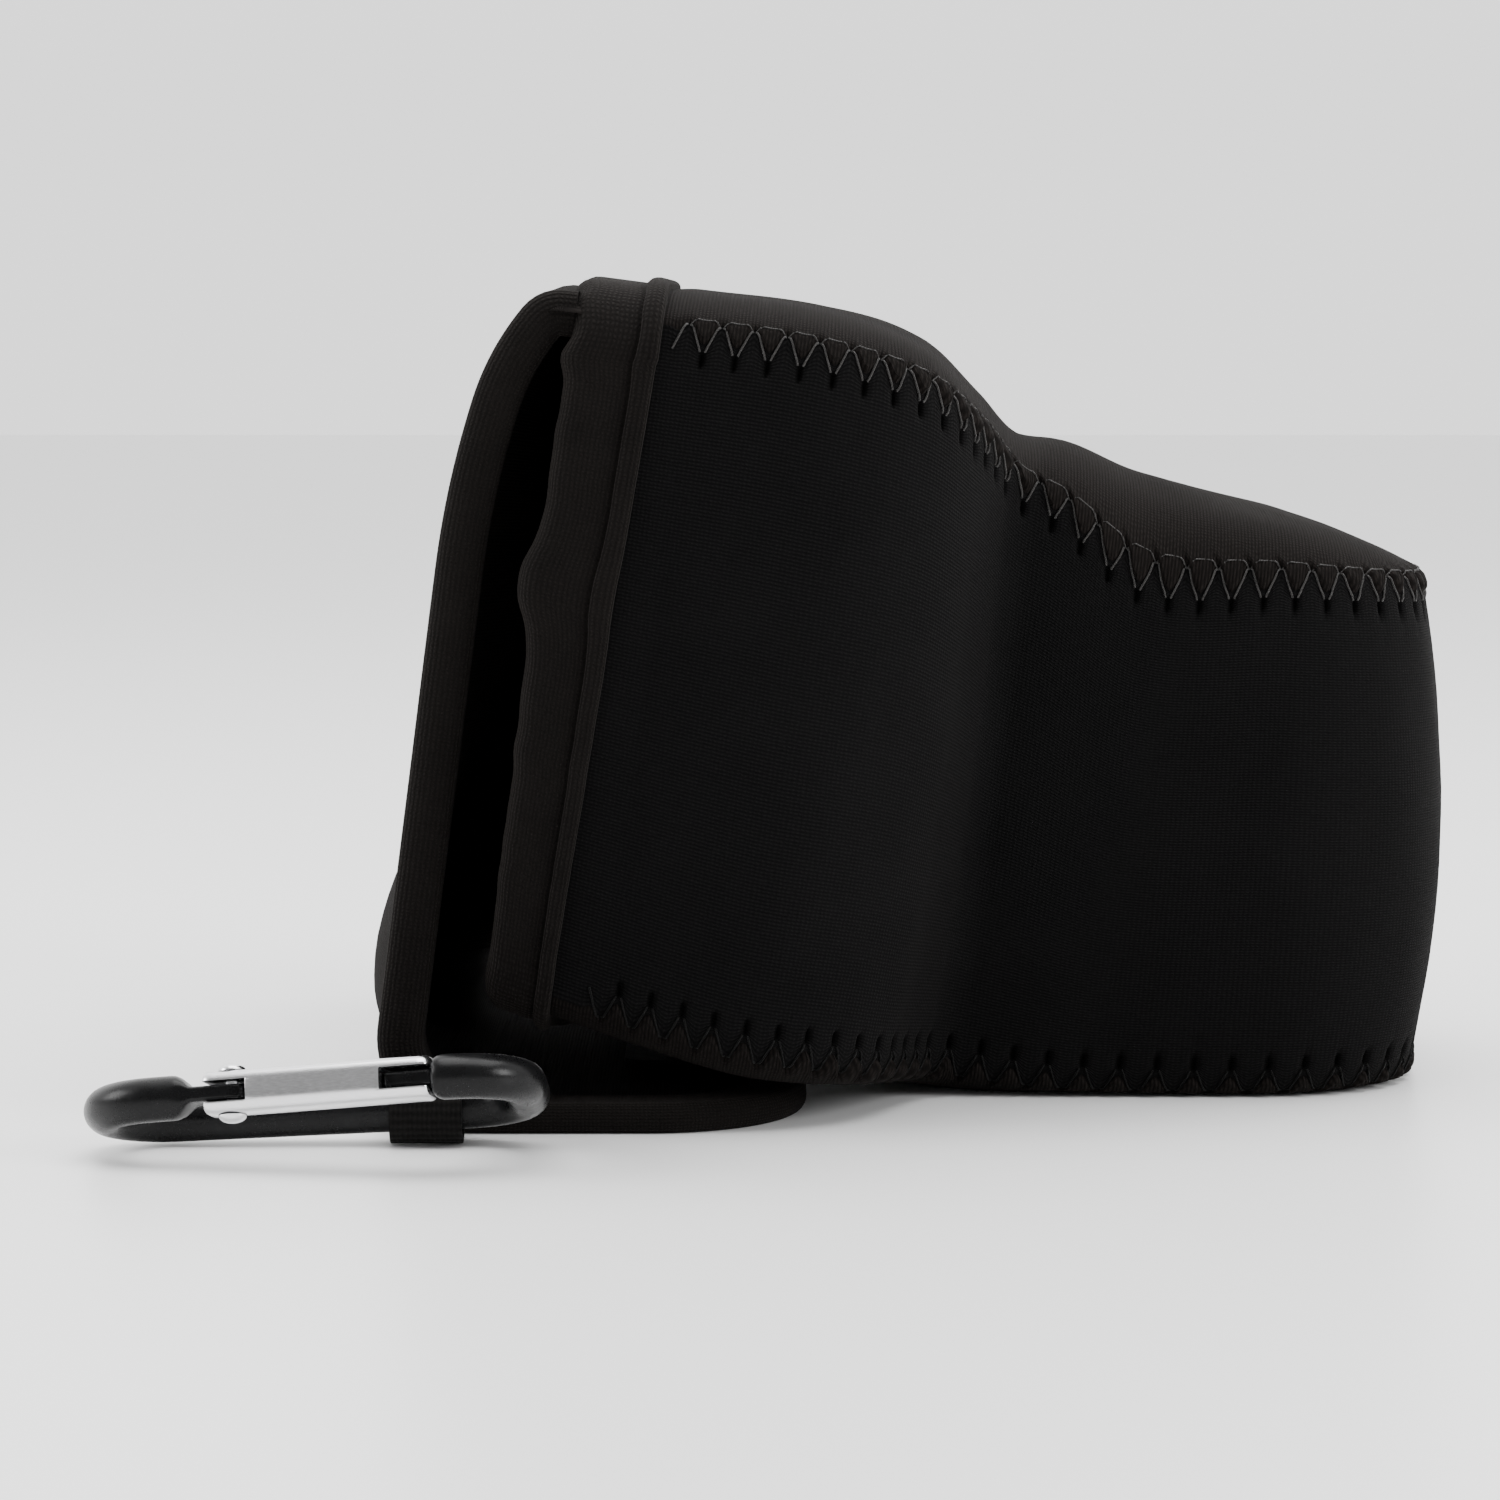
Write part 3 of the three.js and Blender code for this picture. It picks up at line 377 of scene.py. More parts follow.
def stitch_press(signed, off):
    """How stitches shape the cloth beside a seam: off is + on the panel and - on the wall."""
    past_edge = off - seam_line(signed)
    middle = 1 - from_midway(signed)
    scallop = middle ** 0.7 * bell(past_edge - 1.0, 0.95)
    drawn = (1 - middle) ** 3 * bell(off - STITCH_PEAK, 0.8)
    inside = (1 - middle) * bell(past_edge + 0.9, 0.8)
    edge = bell(past_edge, 0.35)
    shape = SCALLOP_SWELL * scallop - PEAK_DRAW * drawn - INSIDE_DIP * inside - EDGE_DIP * edge
    return sewn(signed) * shape - HOLE_DEPTH * needle_hole(signed, off)


def soft_waves(point, layers):
    """Slow unevenness of stretched cloth. A layer is its height, size and seed."""
    total = 0.0
    for height, size, seed in layers:
        total += height * noise.noise(Vector((point[0] / size + seed, point[1] / size, point[2] / size)))
    return total


# The wall that runs round the pouch
def wall_surface(signed, up, depth):
    """A spot of the wall before its stitches: up goes from 0 to 1, depth in from the outer face."""
    distance, point, outward = rim_at(signed)
    swell = BULGE(distance) * (1 - (2 * up - 1) ** 2)
    seam_y = point.y - outward.y * depth
    low, high = LOWER_SEAM(seam_y), UPPER_SEAM(seam_y)
    at = point + outward * (swell - depth)
    return footed(at.x, at.y, mix(low, high, up))


def below_seams(signed, up):
    """How far a spot of the wall lies below the upper seam and above the lower one."""
    point = rim_at(signed)[1]
    height = UPPER_SEAM(point.y) - LOWER_SEAM(point.y)
    return (1 - up) * height, up * height


def seam_surface(signed, off, upper):
    """The cloth's plain surface beside a seam: off is + on the panel and - on the wall."""
    point, outward = rim_at(signed)[1:]
    if off > 0:
        at = point - outward * off
        height = top_height(at, off, 0) if upper else sole_height(at, off, 0)
        return footed(at.x, at.y, height)
    share = -off / (UPPER_SEAM(point.y) - LOWER_SEAM(point.y))
    spot = wall_surface(signed, 1 - share if upper else share, 0)
    spot.z += (SEAM_GAP if upper else -SEAM_GAP) * max(0.0, 1 + off)
    return spot


def wall_point(signed, up, inner):
    if inner:
        return leaned(*wall_surface(signed, up, WALL))
    distance, _, outward = rim_at(signed)
    from_top, from_bottom = below_seams(signed, up)
    off = drawn_off(signed, -min(from_top, from_bottom))
    at = seam_surface(signed, off, from_top < from_bottom)
    press = stitch_press(signed, off)
    free = ease(from_top / 8) * ease(from_bottom / 8) * ease((distance - WALL_START - 8) / 20)
    press += free * soft_waves(at, WALL_WAVES)
    at.x += outward.x * press
    at.y += outward.y * press
    return leaned(*at)


def wall_shade(signed, up):
    """1 in a needle hole, where hardly any light gets in."""
    return needle_hole(signed, drawn_off(signed, -min(below_seams(signed, up))))


# Both panels, from the seam to the middle line
def rim_tree(depth):
    """Spots along the rim at a depth, and straight back from the mouth, to find the nearest one."""
    spots = []
    for i in range(int((HALF_PLAN + BODY_HALF_WIDTH) / RIM_STEP)):
        d = i * RIM_STEP - BODY_HALF_WIDTH
        point, heading = PLAN.at(max(d, 0.0))
        back = max(-d, 0.0)
        spots.append((point.x + math.sin(heading) * depth, point.y - math.cos(heading) * depth + back, 0))
    tree = KDTree(len(spots))
    for i, spot in enumerate(spots):
        tree.insert(spot, i)
    tree.balance()
    return tree


RIM_TREES = {0: rim_tree(0), WALL: rim_tree(WALL)}


def roll_up(distance, reach):
    """A panel's rise from its seam, from 0 to 1 over its reach."""
    t = clamp(distance / reach)
    return (1 - (1 - t) ** 2.2) ** 0.6


def panel_plan(signed, column, depth):
    """A panel's spot seen from above: column is 0 at the seam and 1 on the middle line."""
    distance, point, outward = rim_at(signed)
    rim = point - outward * depth
    share = max(0.0, distance - WALL_START) / (HALF_PLAN - WALL_START)
    fan = SNOUT_CORNER_RADIUS * share ** FAN_POWER
    middle = Vector((0, point.y + fan + SHOULDER_SLANT * math.sin(math.pi * share)))
    return rim.lerp(middle, math.sin(column * math.pi / 2))


def panel_spot(signed, column, inner):
    """A panel's spot seen from above, its distance from the seam and its depth in the sheet."""
    depth = WALL if inner else 0
    at = panel_plan(signed, column, depth)
    off = RIM_TREES[depth].find((abs(at.x), at.y, 0))[2] if column > 0 else 0.0
    return at, off, depth


def panel_crown(y):
    """The upper panel's crown, drawn down under the mouth's tape."""
    return UPPER_CROWN(y) - MOUTH_DIP * ease((y - TAPE_FRONT + 4) / 8)


def top_height(at, off, depth):
    return UPPER_SEAM(at.y) + SEAM_GAP + (panel_crown(at.y) - depth) * roll_up(off, ROLL_OVER - depth)


def panel_edge(signed, at, off, upper):
    """A spot of a panel whose edge hangs over the seam in scallops, pressed by the stitches."""
    point, outward = rim_at(signed)[1:]
    drawn = drawn_off(signed, off)
    if drawn > 0:
        moved = at + outward * (off - drawn)
        height = top_height(moved, drawn, 0) if upper else sole_height(moved, drawn, 0)
        spot = footed(moved.x, moved.y, height)
    else:
        beside = at - point
        beside -= outward * beside.dot(outward)
        spot = seam_surface(signed, drawn, upper) + beside.to_3d()
    press = stitch_press(signed, drawn)
    out = math.exp(-max(0.0, drawn) / 2)
    up = press * (1 - out) * (1 if upper else -1)
    return spot + Vector((outward.x * press * out, outward.y * press * out, up))


def sole_height(at, off, depth):
    drop = (SOLE_CROWN_AT(at.y) - depth) * roll_up(off, ROLL_OVER / 2 - depth)
    free = LOWER_SEAM(at.y) - SEAM_GAP - drop
    return free if depth > 0 else max(free, floor_under(at.y))


def top_point(signed, column, inner):
    at, off, depth = panel_spot(signed, column, inner)
    if inner:
        return leaned(*footed(at.x, at.y, top_height(at, off, depth)))
    spot = panel_edge(signed, at, off, True)
    free = ease((off - 5) / 12) * ease((HINGE_EDGE - at.y) / 14)
    spot.z += free * soft_waves((at.x, at.y, 0), TOP_WAVES)
    return leaned(*spot)


def sole_point(signed, column, inner):
    at, off, depth = panel_spot(signed, column, inner)
    if inner:
        return leaned(*footed(at.x, at.y, sole_height(at, off, depth)))
    spot = panel_edge(signed, at, off, False)
    spot.z = max(spot.z, floor_under(spot.y))
    return leaned(*spot)


# The flap's fall, seen from the side: the route's x is Y and its y is Z
MOUTH_TOP = UPPER_SEAM(HINGE_EDGE) + SEAM_GAP + UPPER_CROWN(HINGE_EDGE)
HINGE = leaned(0, HINGE_EDGE, MOUTH_TOP - FLAP_DROP).yz
FALL = Route(HINGE, CASE_LEAN)
FALL.straight(0.3)
FALL.arc(FLAP_TOP_RADIUS, -(FLAP_TOP_TURN + CASE_LEAN))
FALL.arc(FLAP_KNEE_RADIUS, -(FLAP_KNEE - FLAP_TOP_TURN))
FALL.arc(FLAP_SWEEP_RADIUS, -(FLAP_HANG - FLAP_KNEE))
BEND_DROP = FLAP_BEND_RADIUS * (1 + math.cos(FLAP_HANG))
FALL.straight((FALL.end.y - BEND_DROP) / math.sin(FLAP_HANG))
BEND_AT = FALL.length
FALL.arc(FLAP_BEND_RADIUS, -(math.pi - FLAP_HANG))
FOLD_AT = FALL.length
FOLD_Y = FALL.end.x
FALL.straight(TONGUE_LENGTH + 1)
CORNERS_AT = FOLD_AT + TONGUE_LENGTH - TONGUE_CORNER

BELLY = smooth_line([
    (0, 0), (UPPER_BELLY_AT, FLAP_UPPER_BELLY), (BEND_AT - FLAP_EDGE, FLAP_BELLY), (FOLD_AT, 0),
])


def fall_point(distance, x, depth):
    """A point of the flap at a distance down its route, or on along the tongue."""
    point, heading = FALL.at(distance)
    return Vector((x, point.x + math.sin(heading) * depth, point.y - math.cos(heading) * depth))


def belly_at(distance, x):
    """How far the flap stands out from its route: its far half hangs slack into the mouth."""
    if distance >= FOLD_AT:
        return 0.0
    share = min(1.0, abs(x) / (FLAP_HALF_WIDTH - FLAP_TAPE_WIDTH - SEAM_GAP))
    down = bell(distance - FAR_SAG_AT, FAR_SAG_SPREAD) * ease((FOLD_AT - distance) / 10)
    sag = FAR_SAG * down * math.sin(math.pi * share) if x > 0 else 0.0
    return BELLY(distance) * (1 - share * share) ** 1.3 + sag


def flap_depths(distance):
    """Depths of the flap's outer and inner face: the tongue's sheet is thinner."""
    t = ease((distance - FOLD_AT + 6) / 12)
    outer = mix((FLAP_EDGE - FLAP_SHEET) / 2, (TONGUE_EDGE - TONGUE_SHEET) / 2, t)
    return outer, outer + mix(FLAP_SHEET, TONGUE_SHEET, t)


def tongue_half(distance, inset):
    """Half the width of flap and tongue at a distance, to the outline or inside it."""
    past = distance - CORNERS_AT
    if past <= 0:
        return FLAP_HALF_WIDTH - inset
    radius = TONGUE_CORNER - inset
    return FLAP_HALF_WIDTH - TONGUE_CORNER + math.sqrt(max(0.0, radius ** 2 - past ** 2))


# Meshes
MERGE = 0.004


def as_object(name, bm):
    """An object in the scene made of a mesh."""
    mesh = bpy.data.meshes.new(name)
    bm.to_mesh(mesh)
    bm.free()
    made = bpy.data.objects.new(name, mesh)
    bpy.context.scene.collection.objects.link(made)
    return made


def new_piece(name, bm, material):
    """A piece of the part, from a mesh in millimetres."""
    bmesh.ops.transform(bm, matrix=Matrix.Scale(MM, 4), verts=bm.verts)
    bmesh.ops.recalc_face_normals(bm, faces=bm.faces)
    piece = as_object(name, bm)
    piece.data.shade_smooth()
    piece.data.set_sharp_from_angle(angle=math.radians(42))
    piece.data.materials.append(material)
    return piece


def put_grid(bm, rows, columns, place, cloth, shade=None):
    """A grid laid out by place(row, column), its map in metres, its shade 1 where it is darkest."""
    layer = bm.loops.layers.uv.verify()
    dark = bm.verts.layers.float.get("shade") or bm.verts.layers.float.new("shade")
    before = set(bm.verts)
    bmesh.ops.create_grid(bm, x_segments=len(rows) - 1, y_segments=len(columns) - 1, size=1)
    fresh = [v for v in bm.verts if v not in before]
    spot = {}
    for v in fresh:
        i = round((v.co.x + 1) / 2 * (len(rows) - 1))
        j = round((v.co.y + 1) / 2 * (len(columns) - 1))
        spot[v] = (i, j)
        v.co = place(rows[i], columns[j])
        v[dark] = shade(rows[i], columns[j]) if shade else 0.0
    for v in fresh:
        for loop in v.link_loops:
            i, j = spot[v]
            loop[layer].uv = cloth(rows[i], columns[j])


def thick_cloth(rows, columns, place, cloth, shade=None):
    """A sheet with two faces and closed edges, laid out by place(row, column, inner)."""
    bm = bmesh.new()
    put_grid(bm, rows, columns, lambda row, column: place(row, column, False), cloth, shade)
    put_grid(bm, rows, columns, lambda row, column: place(row, column, True), cloth)
    bmesh.ops.remove_doubles(bm, verts=bm.verts, dist=MERGE)
    rims = [e for e in bm.edges if e.is_boundary]
    bmesh.ops.bridge_loops(bm, edges=rims)
    return bm


def swept(frames):
    """A closed section carried along frames. A frame is origin, across, along, its own section."""
    bm = bmesh.new()
    section = frames[0][3]
    count = len(section)
    girth = [0.0]
    for k in range(count):
        a, b = Vector(section[k]), Vector(section[(k + 1) % count])
        girth.append(girth[-1] + (b - a).length)
    reach = [0.0]
    for a, b in zip(frames, frames[1:]):
        reach.append(reach[-1] + (b[0] - a[0]).length)

    def place(i, k):
        origin, across, along, shape = frames[i]
        x, y = shape[k % count]
        return origin + across * x + along * y

    def cloth(i, k):
        return reach[i] * MM, girth[k] * MM

    put_grid(bm, range(len(frames)), range(count + 1), place, cloth)
    bmesh.ops.remove_doubles(bm, verts=bm.verts, dist=MERGE)
    ends = [e for e in bm.edges if e.is_boundary]
    bmesh.ops.holes_fill(bm, edges=ends, sides=0)
    return bm


# Materials
def shader(name):
    made = bpy.data.materials.new(name)
    made.use_nodes = True
    made.node_tree.nodes.clear()
    return made, Nodes(made)


class Nodes:
    """Short calls for the node tree of a material or of the world."""

    def __init__(self, owner):
        self.tree = owner.node_tree

    def add(self, kind, **settings):
        node = self.tree.nodes.new(kind)
        for key, value in settings.items():
            setattr(node, key, value)
        return node

    def put(self, socket, value):
        """An input gets another node's output, or a plain value."""
        if isinstance(value, bpy.types.NodeSocket):
            self.tree.links.new(value, socket)
        else:
            socket.default_value = value

    def feed(self, node, **inputs):
        """The inputs' names have _ for a space."""
        for key, value in inputs.items():
            self.put(node.inputs[key.replace("_", " ")], value)

    def cloth(self):
        """The map that lies on the cloth, in metres."""
        return self.add("ShaderNodeUVMap").outputs["UV"]

    def place(self):
        """The spot on the object, in metres."""
        return self.add("ShaderNodeTexCoord").outputs["Object"]

    def wave(self, source, pitch, way, distortion, detail_scale):
        node = self.add("ShaderNodeTexWave", wave_type="BANDS", bands_direction=way, wave_profile="SIN")
        self.feed(node, Vector=source, Scale=math.tau / 20 / (pitch * MM), Distortion=distortion,
                  Detail=1.0, Detail_Scale=detail_scale)
        return node.outputs["Fac"]

    def noise(self, source, size, detail=3.0, rough=0.55):
        node = self.add("ShaderNodeTexNoise")
        self.feed(node, Vector=source, Scale=1 / (size * MM), Detail=detail, Roughness=rough)
        return node.outputs["Fac"]

    def math(self, operation, a, b):
        node = self.add("ShaderNodeMath", operation=operation)
        for socket, value in zip(node.inputs, (a, b)):
            self.put(socket, value)
        return node.outputs[0]

    def weigh(self, a, share_a, b, share_b):
        return self.math("ADD", self.math("MULTIPLY", a, share_a), self.math("MULTIPLY", b, share_b))

    def spread(self, fac, low, high, to_low, to_high):
        node = self.add("ShaderNodeMapRange")
        self.feed(node, Value=fac, From_Min=low, From_Max=high, To_Min=to_low, To_Max=to_high)
        return node.outputs["Result"]

    def colour(self, fac, dark, light):
        """A colour between two, each a plain one or another node's output."""
        node = self.add("ShaderNodeMix", data_type="RGBA")
        a, b = [(*c, 1) if isinstance(c, tuple) else c for c in (dark, light)]
        self.feed(node, Factor=fac, A=a, B=b)
        return node.outputs["Result"]

    def finish(self, colour, roughness, height, depth, **settings):
        surface = self.add("ShaderNodeBsdfPrincipled")
        self.feed(surface, Base_Color=colour, Roughness=roughness, **settings)
        if height is not None:
            bump = self.add("ShaderNodeBump")
            self.feed(bump, Height=height, Distance=depth * MM, Strength=1.0)
            self.feed(surface, Normal=bump.outputs["Normal"])
        self.feed(self.add("ShaderNodeOutputMaterial"), Surface=surface.outputs["BSDF"])


def knit_neoprene(name, dark, light):
    """Fine knit facing: courses across the map's V, wales along its U, with painted shade darkening the
    needle holes.
    """
    made, n = shader(name)
    cloth, place = n.cloth(), n.place()
    hole_shade = n.add("ShaderNodeAttribute", attribute_name="shade").outputs["Fac"]
    courses = n.wave(cloth, 0.45, "Y", 1.1, 3.0)
    wales = n.wave(cloth, 0.55, "X", 1.6, 2.0)
    fuzz = n.noise(place, 0.35)
    slow = n.noise(place, 14)
    rib = n.math("MULTIPLY", courses, n.spread(wales, 0, 1, 0.45, 1))
    height = n.weigh(rib, 0.8, fuzz, 0.5)
    tone = n.weigh(rib, 0.6, slow, 0.3)
    colour = n.colour(n.spread(tone, 0.1, 0.75, 0, 1), dark, light)
    # Painted shade: the shade attribute darkens the needle holes towards near black
    colour = n.colour(n.spread(hole_shade, 0.1, 0.7, 0, 1), colour, (0.0006, 0.0006, 0.0006))
    rough = n.spread(fuzz, 0.3, 0.7, 0.86, 1.0)
    n.finish(colour, rough, height, 0.13, Sheen_Weight=0.01, Sheen_Roughness=0.5,
             Sheen_Tint=(0.9, 0.82, 0.78, 1), Specular_IOR_Level=0.045)
    return made


def ribbed_tape(name):
    """Knit tape: wales run along it, with small loops down each."""
    made, n = shader(name)
    cloth, place = n.cloth(), n.place()
    wales = n.wave(cloth, 0.62, "Y", 1.8, 2.2)
    loops = n.wave(cloth, 0.5, "X", 2.2, 2.0)
    fuzz = n.noise(place, 0.3)
    slow = n.noise(place, 7)
    rib = n.math("MULTIPLY", wales, n.spread(loops, 0, 1, 0.3, 1))
    height = n.weigh(rib, 0.8, fuzz, 0.6)
    tone = n.weigh(rib, 0.4, slow, 0.5)
    colour = n.colour(n.spread(tone, 0.1, 0.8, 0, 1), (0.003, 0.0026, 0.0024), (0.0086, 0.0073, 0.0066))
    rough = n.spread(fuzz, 0.3, 0.7, 0.84, 1.0)
    n.finish(colour, rough, height, 0.15, Sheen_Weight=0.02, Sheen_Roughness=0.5,
             Sheen_Tint=(0.95, 0.84, 0.78, 1), Specular_IOR_Level=0.06)
    return made


def spun_thread(name, dark, light, gloss):
    made, n = shader(name)
    place = n.place()
    strands = n.wave(place, 0.16, "DIAGONAL", 1.5, 2.0)
    fuzz = n.noise(place, 0.4)
    colour = n.colour(n.spread(strands, 0, 1, 0, 1), dark, light)
    rough = n.spread(fuzz, 0.3, 0.7, 0.55, 0.75)
    n.finish(colour, rough, strands, 0.05, Sheen_Weight=gloss * 0.4, Specular_IOR_Level=gloss)
    return made


def woven_webbing(name):
    made, n = shader(name)
    cloth, place = n.cloth(), n.place()
    ribs = n.wave(cloth, 0.9, "X", 0.3, 2.0)
    yarns = n.wave(cloth, 0.6, "Y", 0.3, 2.0)
    fuzz = n.noise(place, 0.3)
    weave = n.weigh(ribs, 0.8, yarns, 0.5)
    height = n.weigh(weave, 1, fuzz, 0.4)
    colour = n.colour(n.spread(weave, 0.2, 1.2, 0, 1), (0.002, 0.0018, 0.0017), (0.0072, 0.0065, 0.006))
    rough = n.spread(fuzz, 0.3, 0.7, 0.75, 0.95)
    n.finish(colour, rough, height, 0.12, Sheen_Weight=0.02, Specular_IOR_Level=0.09)
    return made


def hook_and_loop(name):
    made, n = shader(name)
    place = n.place()
    fuzz = n.noise(place, 0.5, 4.0, 0.7)
    hooks = n.noise(place, 1.1, 2.0)
    colour = n.colour(n.spread(fuzz, 0.3, 0.7, 0, 1), (0.003, 0.003, 0.003), (0.01, 0.0095, 0.0095))
    rough = n.spread(hooks, 0.3, 0.7, 0.8, 1.0)
    n.finish(colour, rough, n.math("ADD", fuzz, hooks), 0.5, Sheen_Weight=0.08, Specular_IOR_Level=0.15)
    return made


def anodised_black(name):
    made, n = shader(name)
    place = n.place()
    grain = n.noise(place, 0.25, 2.0)
    rub = n.noise(place, 4.0, 4.0, 0.65)
    worn = n.spread(rub, 0.62, 0.74, 0, 1)
    colour = n.colour(worn, (0.0035, 0.0035, 0.0038), (0.011, 0.011, 0.0115))
    rough = n.math("ADD", n.spread(rub, 0.3, 0.7, 0.2, 0.32), n.spread(grain, 0.3, 0.7, 0, 0.05))
    n.finish(colour, rough, grain, 0.006, Specular_IOR_Level=0.17)
    return made


def brushed_aluminium(name):
    made, n = shader(name)
    place = n.place()
    stretch = n.add("ShaderNodeMapping", vector_type="POINT")
    n.feed(stretch, Vector=place, Scale=(1, 0.035, 1))
    lines = n.noise(stretch.outputs["Vector"], 0.16, 3.0, 0.6)
    slow = n.noise(place, 5)
    colour = n.colour(n.spread(lines, 0.3, 0.7, 0, 1), (0.7, 0.7, 0.71), (0.8, 0.8, 0.81))
    rough = n.math("ADD", n.spread(lines, 0.3, 0.7, 0.15, 0.22), n.spread(slow, 0.3, 0.7, 0, 0.04))
    n.finish(colour, rough, lines, 0.005, Metallic=1.0)
    return made


WALL_CLOTH = knit_neoprene("knit_faced_neoprene", (0.002, 0.002, 0.0021), (0.0068, 0.0066, 0.0067))
PANEL_CLOTH = knit_neoprene("warm_knit_faced_neoprene", (0.003, 0.0025, 0.0023), (0.0098, 0.0081, 0.0074))
TAPE = ribbed_tape("ribbed_knit_tape")
SEAM_THREAD = spun_thread("dark_grey_thread", (0.014, 0.013, 0.0122), (0.034, 0.0318, 0.03), 0.25)
BLACK_THREAD = spun_thread("black_thread", (0.0018, 0.0018, 0.0018), (0.0065, 0.0063, 0.006), 0.08)
WEBBING = woven_webbing("black_webbing")
HOOKS = hook_and_loop("hook_and_loop_tape")
BLACK_METAL = anodised_black("black_anodised_aluminium")
BRIGHT_METAL = brushed_aluminium("brushed_aluminium")


# Pouch
ROW_STEP = STITCH_PITCH / 8
BAND_HALF = math.floor((HALF_PLAN - WALL_START) / ROW_STEP) * ROW_STEP
BAND_ROWS = spread(-BAND_HALF, BAND_HALF, ROW_STEP)
BAND_HEIGHT = 84
SEAM_STOPS = [0, 0.45, 0.9, 1.4, 1.9, 2.4, 2.9, 3.4, 3.9, 4.5, 5.4, 6.8]


def side_band():
    edge = [stop / BAND_HEIGHT for stop in SEAM_STOPS]
    columns = edge + spread(edge[-1], 1 - edge[-1], 0.05)[1:-1] + [1 - e for e in reversed(edge)]
    bm = thick_cloth(BAND_ROWS, columns, wall_point,
                     lambda row, up: (row * MM, up * BAND_HEIGHT * MM), wall_shade)
    piece = new_piece("side_wall", bm, WALL_CLOTH)
    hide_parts("side_band")
    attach(piece, "pouch")


PANEL_COLUMNS = [0.0, 0.006, 0.013, 0.022, 0.032, 0.043, 0.056, 0.07, 0.087, 0.11, 0.14, 0.18, 0.23, 0.29,
                 0.36, 0.44, 0.53, 0.62, 0.72, 0.82, 0.91, 1.0]


def panel_cloth(row, column):
    at = panel_plan(row, column, 0)
    return at.x * MM, at.y * MM


def past_mouth(side, beyond, column, inner):
    """The top panel runs on over the fold as the flap's upper end."""
    rim, off, sheet = panel_spot(side * (HALF_PLAN - 0.01), column, inner)
    rise = (panel_crown(HINGE_EDGE) - sheet) * roll_up(off, ROLL_OVER - sheet)
    outer, inside = flap_depths(beyond)
    t = ease(beyond / 11)
    depth = mix(UPPER_CROWN(HINGE_EDGE) - FLAP_DROP - rise, inside if inner else outer, t)
    x = rim.x * mix(1, (FLAP_HALF_WIDTH - TAPE_TUCK) / BODY_HALF_WIDTH, t)
    return fall_point(beyond, x, depth - belly_at(beyond, x))


def top_panel():
    beyond = spread(0.3, UPPER_END, 1.2)
    rows = [(-1, d) for d in reversed(beyond)] + [(0, r) for r in BAND_ROWS] + [(1, d) for d in beyond]

    def place(row, column, inner):
        side, at = row
        return past_mouth(side, at, column, inner) if side else top_point(at, column, inner)

    def cloth(row, column):
        side, at = row
        if side:
            x, y = panel_cloth(side * BAND_HALF, column)
            return x, y + at * MM
        return panel_cloth(at, column)

    bm = thick_cloth(rows, PANEL_COLUMNS, place, cloth)
    piece = new_piece("upper_panel", bm, PANEL_CLOTH)
    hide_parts("top_panel")
    beyond_hinge = fall_point(UPPER_END * 0.75, 0, 2)
    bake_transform(piece)


def bottom_panel():
    bm = thick_cloth(BAND_ROWS, PANEL_COLUMNS, sole_point, panel_cloth)
    piece = new_piece("lower_panel", bm, PANEL_CLOTH)
    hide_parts("bottom_panel")
    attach(piece, "pouch")


# Tape sections: open towards +y, the fold at y = 0, drawn from the inner lip round
def tape_profile(slot_half, skin, slot_depth, width, ridge):
    half = slot_half + skin
    outer = []
    for k in range(13):
        angle = math.pi * k / 12
        swell = 1 + 0.05 * math.sin(angle)
        outer.append((half * math.cos(angle) * swell, half * 0.8 * (1 - math.sin(angle))))
    right = [(half, width * t) for t in (0.82, 0.62, 0.42, 0.3)]
    left = [(-half, width * t) for t in (0.3, 0.42, 0.62, 0.82)]
    tips = [(-half * 0.98, width - 0.3), (-half + 0.35, width)]
    lip = [(slot_half, width), (half - 0.35, width), (half * 0.98, width - 0.3)]
    if ridge:
        lip = [(slot_half, width + RIDGE_WIDTH)]
        for k in range(9):
            angle = math.pi * k / 8
            along = width + RIDGE_WIDTH * (0.5 + 0.5 * math.cos(angle))
            lip.append((half - 0.2 + (RIDGE_RISE + 0.2) * math.sin(angle) ** 0.7, along))
        lip.append((half, width - 0.5))
    inner = [(-slot_half, width), (-slot_half, slot_depth), (slot_half, slot_depth)]
    return lip + right + outer + left + tips + inner


MOUTH_TAPE = tape_profile(WALL / 2 + 0.1, TAPE_SKIN + 0.2, SLOT_DEPTH, TAPE_WIDTH, True)
SOLE_FALL = SOLE_RISE / (HINGE_EDGE - TAPE_FRONT)
CORNER_SHARE = MOUTH_CORNER / 2 / BAND_HEIGHT


def wall_middle(up):
    """Middle of the right wall's edge at the mouth, as (x, z)."""
    at = wall_surface(HALF_PLAN - WALL_START, up, WALL / 2)
    return Vector((at.x, at.z + (MOUTH_EDGE - at.y) * SOLE_FALL * (1 - up)))


def edge_rise(crown, off, reach):
    """How far the middle of a panel's edge has rolled away from its seam."""
    return (crown * roll_up(off, reach) + (crown - WALL) * roll_up(off - WALL, reach - WALL)) / 2


def top_middle(off):
    """Middle of the upper panel's edge at the mouth."""
    rise = edge_rise(panel_crown(MOUTH_EDGE), off, ROLL_OVER)
    return Vector((BODY_HALF_WIDTH - off, UPPER_SEAM(MOUTH_EDGE) + SEAM_GAP + rise))


def sole_middle(off):
    """Middle of the lower panel's edge at the mouth."""
    drop = edge_rise(SOLE_CROWN, off, ROLL_OVER / 2)
    return Vector((BODY_HALF_WIDTH - off, LOWER_SEAM(MOUTH_EDGE) - SEAM_GAP - drop))


